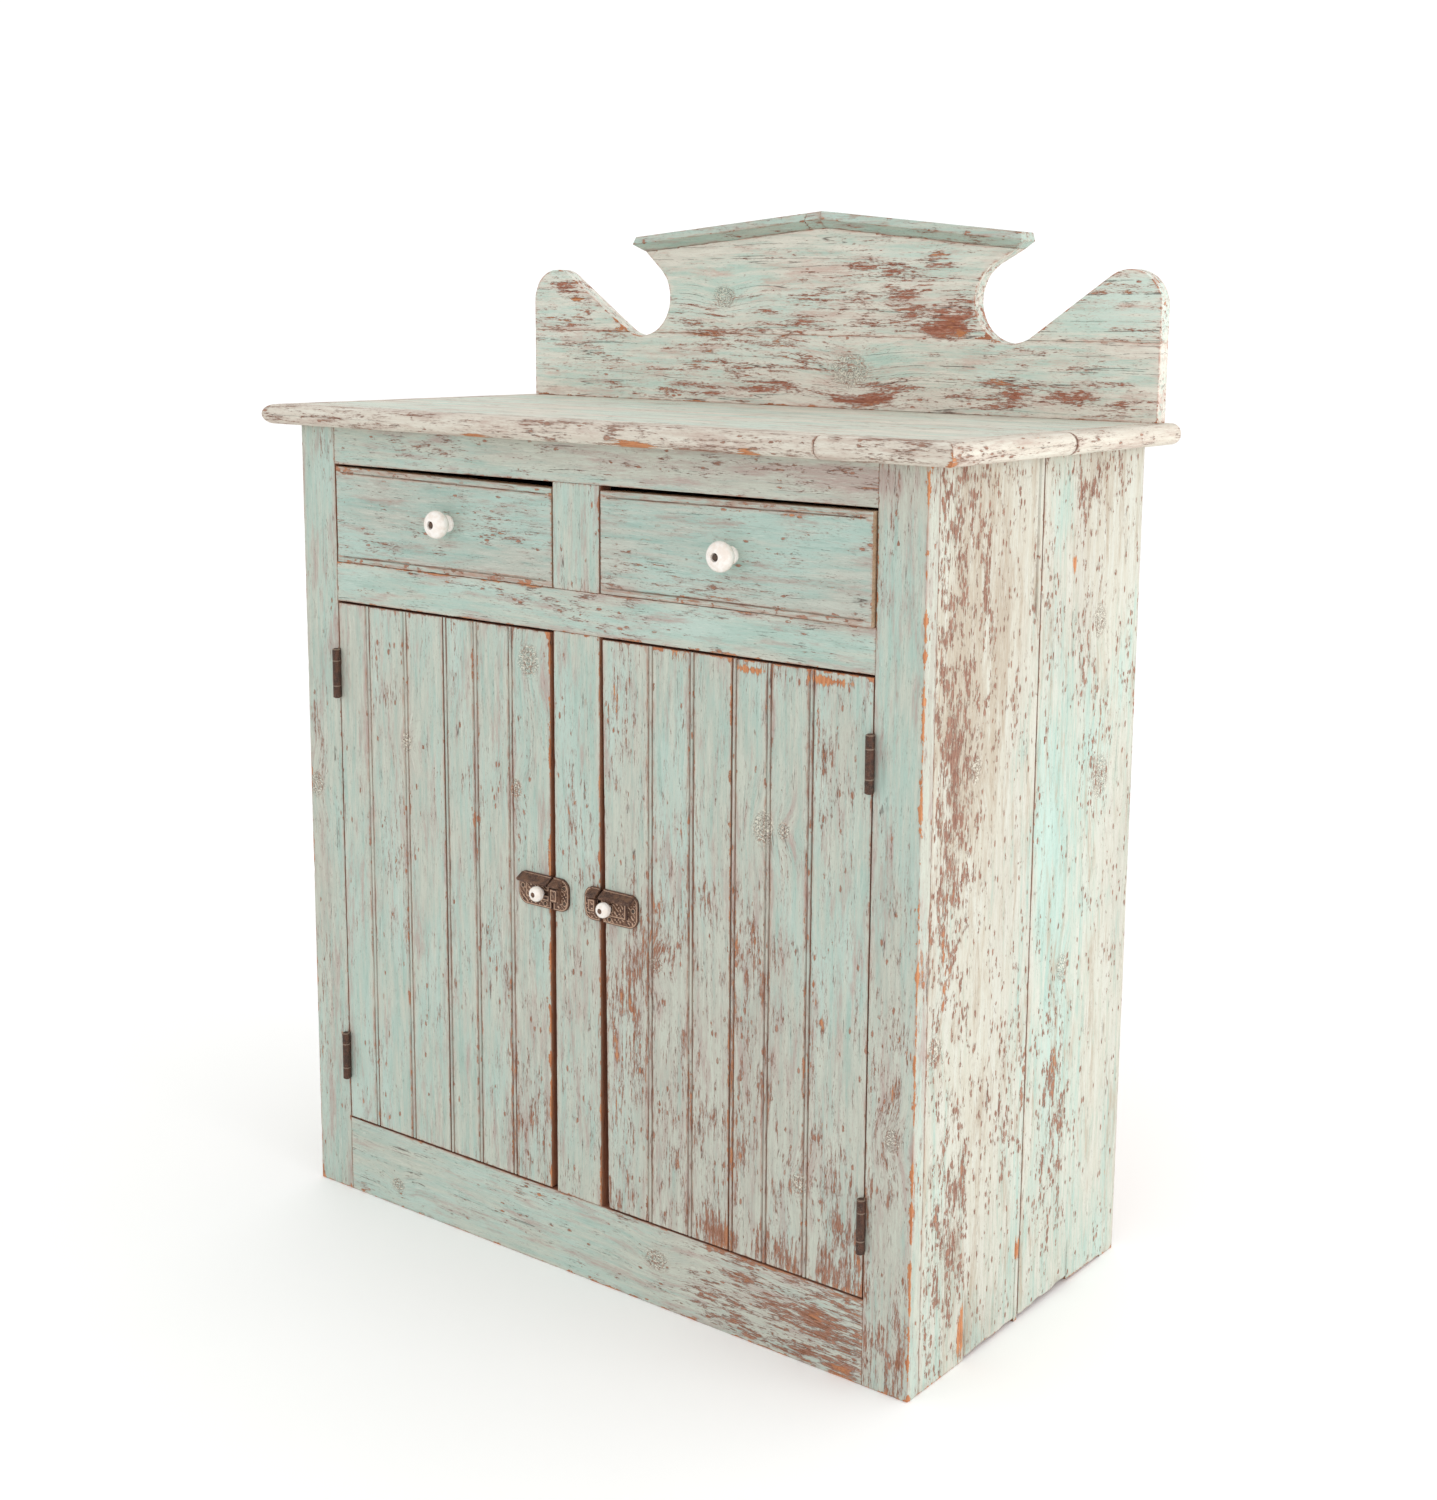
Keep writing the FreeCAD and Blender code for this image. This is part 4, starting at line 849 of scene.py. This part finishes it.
def weathered_paint(name, tones, raw_share=0.0, flake=1.0, checked=0.0, pits=0.4, solid=0.31, haze=0.6,
                    inner_wood=INNER_WOOD):
    """Aqua paint rubbed through to cream undercoat, and flaked to brown and raw orange pine. Raw_share,
    checked and pits ask for more orange wood, fine checks and small pits; flake makes the losses smaller,
    solid makes them larger and haze surrounds them with a darker film."""
    graph = Graph(name)
    aqua_tones, cream, old_wood = tones[:3], tones[3:6], tones[6:]
    grain = graph.attribute("grain", "Vector")
    edge, fade, wear, painted, rub_down, scar, groove = (
        graph.attribute(name) for name in ("edge", "fade", "wear", "painted", "rub", "scar", "groove")
    )
    blotch = graph.noise(grain, (26, 70, 70), 6, 0.68)
    knot = graph.plus(knot_distance(graph, grain), graph.span(blotch, 0.3, 0.7, -0.22, 0.22))

    # The grain bends round the knots, and wanders a little everywhere
    flow = graph.span(knot, 0.0, 4.0, 0.010, 0.0)
    wander = graph.times(graph.noise(grain, (2.0, 6, 6), 2), 0.012)
    bend = graph.add("ShaderNodeCombineXYZ", {"Y": graph.plus(flow, wander)}).outputs[0]
    lines = graph.vector("ADD", grain, bend)

    patch = graph.noise(lines, (4.5, 14, 14), 4, 0.6)
    brush = graph.noise(lines, (10, 130, 130), 9, 0.74)
    stain = graph.noise(graph.vector("ADD", lines, (3.0, 5.0, 7.0)), (9, 62, 62), 9, 0.72)
    strand = graph.noise(lines, (24 * flake, 270 * flake, 270 * flake), 9, 0.74)
    thread = graph.noise(lines, (40, 640, 640), 4, 0.65)
    pore = graph.noise(lines, (130, 1200, 1200), 3, 0.7)

    # Aqua top coat over cream, brushed thin along the grain
    rub = graph.plus(graph.times(brush, 0.65), graph.times(patch, 0.35))
    level = graph.plus(graph.times(fade, 0.26), 0.38)
    level = graph.plus(level, graph.span(edge, 0.001, 0.010, 0.04, 0.0))
    aqua_left = graph.span(graph.minus(rub, level), -0.090, 0.100)
    aqua = graph.mix(graph.span(patch, 0.38, 0.66), colour(aqua_tones[0]), colour(aqua_tones[1]))
    aqua = graph.mix(graph.span(brush, 0.52, 0.66, 0, 0.8), aqua, colour(aqua_tones[2]))
    under = graph.mix(graph.span(brush, 0.38, 0.60), colour(cream[0]), colour(cream[1]))
    coat = graph.mix(aqua_left, under, aqua)
    # Stains darken the coat towards the dull cream, and so does a fade above 0.8. This is real grime, and on
    # the upper sides and the top rail, where patches raise the fade, it is painted shade under the top's
    # overhang.
    dirt_and_shade = graph.plus(stain, graph.times(graph.span(fade, 0.80, 1.30), 0.18))
    in_threads = graph.span(thread, 0.36, 0.56, 0.45, 1.0)
    grime_and_shade = graph.times(graph.span(dirt_and_shade, 0.50, 0.66, 0, 0.9), in_threads)
    coat = graph.mix(grime_and_shade, coat, colour(cream[2]))
    coat = graph.mix(graph.span(thread, 0.57, 0.68, 0, 0.34), coat, colour(CHALK))

    # Ragged losses along the grain, with a thin mauve film round them
    ragged = graph.plus(strand, graph.times(graph.minus(blotch, 0.5), 0.55))
    ragged = graph.plus(ragged, graph.times(graph.minus(pore, 0.5), 0.55))
    local = graph.times(wear, graph.span(patch, 0.35, 0.65, 0.62, 1.35))
    limit = graph.minus(0.815, graph.times(local, solid))
    over = graph.minus(ragged, limit)
    lost = graph.span(over, -0.010, 0.014)
    film = graph.span(over, -0.14, 0.0, 0.0, haze)
    coat = graph.mix(film, coat, colour(cream[2]))

    # Small pits, and thin paint along the arrises
    pitted = graph.span(blotch, 0.44, 0.62, 0.02, pits)
    share = graph.times(graph.math("POWER", local, 2.0), pitted)
    lost = graph.most(lost, flake_pits(graph, lines, share, pore))
    rim = graph.span(edge, 0.0004, 0.0034, 0.75, 0.0)
    coat = graph.mix(graph.times(rim, graph.span(strand, 0.44, 0.56)), coat, colour(old_wood[0]))

    # Dirt settled in the grooves
    settled = graph.times(groove, graph.span(strand, 0.38, 0.58, 0.35, 1.0))
    settled = graph.times(settled, graph.span(patch, 0.36, 0.62, 0.25, 0.85))
    coat = graph.mix(settled, coat, colour(GROOVE_DIRT))

    # Arrises worn through, wider where a hand or a door has rubbed them, and gouged places
    arris_noise = graph.noise(grain, (40, 75, 75), 6, 0.68)
    width = graph.span(arris_noise, 0.44, 0.74, -0.0014, 0.0034)
    wider = graph.times(rub_down, graph.span(blotch, 0.36, 0.66, 0.0004, 0.0040))
    width = graph.plus(width, wider)
    worn_arris = graph.span(graph.minus(width, edge), -0.0003, 0.0003)
    lost = graph.most(lost, worn_arris)
    torn = graph.plus(graph.minus(strand, 0.5), graph.minus(brush, 0.5))
    gouge = graph.span(graph.plus(scar, graph.times(torn, 2.2)), 0.58, 0.64)
    lost = graph.most(lost, gouge)

    # Flakes, cracks and rings on and round the knots
    flaking, cracks, rings = knot_marks(graph, grain, knot, blotch)
    lost = graph.most(lost, graph.times(rings, 0.75))
    coat = graph.mix(graph.times(flaking, 0.8), coat, colour(LOOSE_FLAKE))
    coat = graph.mix(graph.times(cracks, 0.9), coat, colour(DARK_CRACK))
    kept = graph.times(graph.minus(1.0, lost), painted)

    # The wood under it: grey-brown where it is old, orange where it is freshly bare
    old = graph.mix(graph.span(over, 0.03, 0.20), colour(old_wood[0]), colour(old_wood[1]))
    old = graph.mix(graph.span(thread, 0.44, 0.60, 0.0, 0.7), old, colour(old_wood[1]))
    raw = graph.mix(graph.span(strand, 0.4, 0.65), colour(RAW_WOOD[0]), colour(RAW_WOOD[1]))
    fresh = graph.plus(graph.times(patch, 0.5), graph.times(blotch, 0.5))
    fresh = graph.span(fresh, 0.58 - raw_share, 0.64 - raw_share, 0, 0.8)
    rubbed = graph.most(rub_down, graph.span(patch, 0.52, 0.60, 0.0, 0.4))
    bare_arris = graph.times(graph.span(edge, 0.002, 0.009, 1.0, 0.0), rubbed)
    fresh = graph.most(graph.most(fresh, bare_arris), gouge)
    wood = graph.mix(fresh, old, raw)
    inner = graph.minus(1.0, painted)
    inner = graph.times(inner, graph.span(edge, 0.018, 0.024, 0.75, 0.9))
    unpainted = graph.mix(graph.span(brush, 0.42, 0.60), colour(inner_wood[0]), colour(inner_wood[1]))
    behind = graph.mix(graph.span(brush, 0.42, 0.60), colour(BACK_WOOD[0]), colour(BACK_WOOD[1]))
    unpainted = graph.mix(graph.span(edge, 0.018, 0.024), unpainted, behind)
    wood = graph.mix(inner, wood, unpainted)
    tone = graph.mix(kept, wood, coat)

    # Dirt in the pores, and fine checks along the grain
    dirt = graph.times(graph.span(pore, 0.57, 0.70), graph.span(blotch, 0.42, 0.62, 0.25, 0.95))
    tone = graph.mix(dirt, tone, colour(PORE_DIRT), "MULTIPLY")
    check = graph.math("ABSOLUTE", graph.minus(graph.noise(lines, (1.6, 55, 55), 2, 0.4), 0.5))
    in_blotch = graph.span(blotch, 0.52 - checked, 0.62 - checked)
    check = graph.times(graph.span(check, 0.0, 0.006, 1.0, 0.0), in_blotch)
    tone = graph.mix(graph.times(check, 0.75), tone, colour(OPEN_CHECK))

    # Paint stands above the wood, and loose flakes above the paint; checks are sunk
    height = graph.plus(graph.times(kept, 0.45), graph.times(thread, 0.30))
    height = graph.plus(height, graph.times(brush, 0.45))
    height = graph.minus(height, graph.times(check, 0.8))
    height = graph.plus(height, graph.times(flaking, 0.25))
    dullness = graph.span(graph.plus(thread, graph.times(kept, 0.2)), 0.3, 0.9, 0.88, 0.62)
    return graph.finish(tone, dullness, height, 0.0007, Specular_IOR_Level=0.35)


def worn_iron(name, base, light, rust, cast=False, joints=()):
    """Dark, rusted iron with bright worn high spots, and bright lines where a hinge's knuckles meet."""
    graph = Graph(name)
    place = graph.place()
    cloud = graph.noise(place, (160, 160, 160), 4)
    grit = graph.noise(place, (1400, 1400, 1400), 3, 0.7)
    tone = graph.mix(graph.span(cloud, 0.35, 0.65), colour(base), colour(rust))
    tone = graph.mix(graph.span(grit, 0.5, 0.75, 0, 0.7), tone, colour(light))
    if joints:
        up = graph.add("ShaderNodeSeparateXYZ", {0: place}).outputs[2]
        nearest = None
        for joint in joints:
            away = graph.math("ABSOLUTE", graph.minus(up, joint))
            nearest = away if nearest is None else graph.least(nearest, away)
        tone = graph.mix(graph.span(nearest, 0.0004, 0.0009, 0.75, 0.0), tone, colour(light))
    if cast:
        tone = graph.mix(graph.span(graph.attribute("high"), 0.2, 0.9, 0, 0.95), tone, colour(light))
    height = graph.plus(cloud, graph.times(grit, 0.5))
    return graph.finish(tone, graph.span(grit, 0.3, 0.7, 0.42, 0.72), height, 0.0003, Metallic=0.55)


def porcelain():
    """White glazed porcelain, faintly clouded, with a few specks of dirt."""
    graph = Graph("porcelain")
    place = graph.place()
    cloud = graph.noise(place, (120, 120, 120), 3)
    speck = graph.noise(place, (1500, 1500, 1500), 2)
    tone = graph.mix(graph.span(cloud, 0.35, 0.7), colour("f4efe9"), colour("e9ddd2"))
    tone = graph.mix(graph.span(speck, 0.72, 0.8, 0, 0.5), tone, colour("8a7868"))
    return graph.finish(
        tone, graph.span(cloud, 0.3, 0.7, 0.12, 0.24), cloud, 0.0002, Coat_Weight=0.6, Coat_Roughness=0.08
    )


def studio_floor():
    """Pale matt paper."""
    graph = Graph("studio_floor")
    place = graph.place()
    cloud = graph.noise(place, (2, 2, 2), 3)
    tone = graph.mix(cloud, colour("fdfdfc"), colour("fafaf9"))
    return graph.finish(tone, graph.span(cloud, 0.3, 0.7, 0.6, 0.7), cloud, 0.0002, Specular_IOR_Level=0.2)


# ---------------------------------------------------------------- dressing the cupboard
front_paint = weathered_paint("paint_front", TONES["front"])
drawer_paint = weathered_paint("paint_drawer", TONES["drawer"], inner_wood=DRAWER_EDGE)
side_paint = weathered_paint("paint_side", TONES["side"], raw_share=-0.02, flake=1.3, pits=2.3, solid=0.26,
                             haze=0.45)
splash_paint = weathered_paint("paint_splash", TONES["splash"], flake=0.62, checked=0.09, pits=0.05)
cap_paint = weathered_paint("paint_cap", TONES["front"], flake=0.7, pits=0.05)
top_paint = weathered_paint("paint_top", TONES["top"], raw_share=-0.01, pits=0.5, inner_wood=BACK_WOOD)
pine = bare_pine()

OUT = {"left": LEFT, "right": RIGHT}

for node in ("drawer_muntin", "door_mullion"):
    weathered(node, "Z", front_paint, [FRONT])
for node in ("rail_top", "rail_middle", "rail_bottom"):
    weathered(node, "X", front_paint, [FRONT])
for side in ("left", "right"):
    weathered(f"stile_{side}", "Z", front_paint, [FRONT, OUT[side]])
    weathered(f"side_{side}_front_board", "Z", side_paint, [OUT[side]])
    weathered(f"side_{side}_rear_board", "Z", side_paint, [OUT[side], BACK])
    weathered(f"drawer_{side}_front", "X", drawer_paint, [FRONT], filled_ends=12 * MM)
    for part in ("hinge", "free"):
        weathered(f"door_{side}_{part}_board", "Z", front_paint, [FRONT], arris=0.5 * MM)
    weathered(f"top_nosing_{side}", "Y", top_paint, place="nosing")
    weathered(f"splash_ear_{side}", "X", splash_paint, place="splash")
    weathered(f"splash_cap_{side}", "X", cap_paint, place="cap")
    for node, grain in (("door_%s_battens", "X"), ("drawer_%s_sides", "Y"), ("drawer_%s_back", "X"),
                        ("drawer_%s_bottom", "X")):
        weathered(node % side, grain, pine, painted=False, step=HIDDEN_STEP)
weathered("top_nosing_front", "X", top_paint, place="nosing")
for node in ("top_front_board", "top_rear_board"):
    weathered(node, "X", top_paint, [UP])
for node in ("splash_lower_board", "splash_crest"):
    weathered(node, "X", splash_paint, place="splash")
for node, grain in (("back_boards", "Z"), ("floor_boards", "X"), ("shelf_boards", "X"), ("case_bearers", "Y"),
                    ("drawer_runners", "Y")):
    weathered(node, grain, pine, painted=False, step=HIDDEN_STEP)

# Heights of the joints between a hinge's knuckles, and of the top of its barrel, in millimetres
HINGE_CENTRES = (716.0, 192.5)
KNUCKLE_SHIFTS = (-16.55, 16.55, 31.75)
KNUCKLE_JOINTS = [(centre + shift) * MM for centre in HINGE_CENTRES for shift in KNUCKLE_SHIFTS]
hinge_iron = worn_iron("hinge_iron", "3d2c26", "a08c7c", "5a3b2e", joints=KNUCKLE_JOINTS)
catch_iron = worn_iron("catch_iron", "5c463a", "b09883", "765544")
cast_iron = worn_iron("cast_catch", "46302a", "c8a890", "70503e", cast=True)
screw_steel = worn_iron("screw_steel", "4a423c", "857a6e", "5d4638")
glaze = porcelain()
METAL = {
    "hinge_frame_leaves": hinge_iron, "hinge_pins": hinge_iron,
    "splash_screws": screw_steel, "frame_hardware_screws": screw_steel,
}
cast_ornament("catch_keepers", cast_iron)
for side in ("left", "right"):
    METAL[f"door_{side}_hinge_leaves"] = hinge_iron
    cast_ornament(f"door_{side}_catch_plate", cast_iron)
    METAL[f"door_{side}_catch_bolt"] = catch_iron
    METAL[f"door_{side}_catch_knob"] = glaze
    METAL[f"door_{side}_screws"] = screw_steel
    METAL[f"drawer_{side}_knob"] = glaze
    METAL[f"drawer_{side}_knob_screw"] = screw_steel
for node, material in METAL.items():
    mesh = frame["nodes"][node].data
    mesh.materials.clear()
    mesh.materials.append(material)


# ---------------------------------------------------------------- floor, light and camera
FLOOR_WIDTH = 60.0
SKY_STRENGTH = 1.1
KEY_PLACE, KEY_TARGET = (3.6, 0.2, 1.2), (0.3, 0, 0.3)
KEY_WIDTH, KEY_HEIGHT = 2.4, 2.2
KEY_POWER = 42                 # watts

# The camera, to the right of the front and a little above the top boards
CAMERA_PLACE = (1.6025, -1.9887, 1.1948)
AZIMUTH, ELEVATION, ROLL = math.radians(36.62), math.radians(9.82), math.radians(0.66)
SENSOR_WIDTH, LENS = 36, 48.92
SHIFT = (-0.0403, -0.0611)


def flat_square(name, width, centre, material):
    """A level square, such as a floor."""
    bm = bmesh.new()
    bmesh.ops.create_grid(bm, x_segments=8, y_segments=8, size=width / 2)
    mesh = bpy.data.meshes.new(name)
    bm.to_mesh(mesh)
    bm.free()
    mesh.materials.append(material)
    piece = add_object(name, mesh)
    piece.location = centre
    return piece


def softbox(name, centre, target, width, height, power):
    """A large soft lamp that points at the target."""
    lamp = bpy.data.lights.new(name, "AREA")
    lamp.shape = "RECTANGLE"
    lamp.size, lamp.size_y = width, height
    lamp.energy = power
    piece = add_object(name, lamp)
    piece.location = centre
    piece.rotation_mode = "QUATERNION"
    piece.rotation_quaternion = (Vector(target) - Vector(centre)).to_track_quat("-Z", "Y")


floor = flat_square("studio_floor", FLOOR_WIDTH, (0, 0, FLOOR_Z), studio_floor())

world = bpy.data.worlds.new("studio")
world.use_nodes = True
world.node_tree.nodes["Background"].inputs["Color"].default_value = (1.0, 1.0, 1.0, 1.0)
world.node_tree.nodes["Background"].inputs["Strength"].default_value = SKY_STRENGTH
bpy.context.scene.world = world
bpy.context.scene.view_settings.view_transform = "Standard"
softbox("key", KEY_PLACE, KEY_TARGET, KEY_WIDTH, KEY_HEIGHT, KEY_POWER)

forward = Vector((-math.sin(AZIMUTH) * math.cos(ELEVATION), math.cos(AZIMUTH) * math.cos(ELEVATION),
                  -math.sin(ELEVATION)))
right = forward.cross(Vector((0, 0, 1))).normalized()
up = right.cross(forward)
rolled_right = right * math.cos(ROLL) + up * math.sin(ROLL)
rolled_up = up * math.cos(ROLL) - right * math.sin(ROLL)
camera_data = bpy.data.cameras.new("camera")
camera_data.sensor_width = SENSOR_WIDTH
camera_data.lens = LENS
camera_data.shift_x, camera_data.shift_y = SHIFT
camera = add_object("camera", camera_data)
turn = Matrix((rolled_right, rolled_up, -forward)).transposed().to_4x4()
camera.matrix_world = Matrix.Translation(CAMERA_PLACE) @ turn
bpy.context.scene.camera = camera
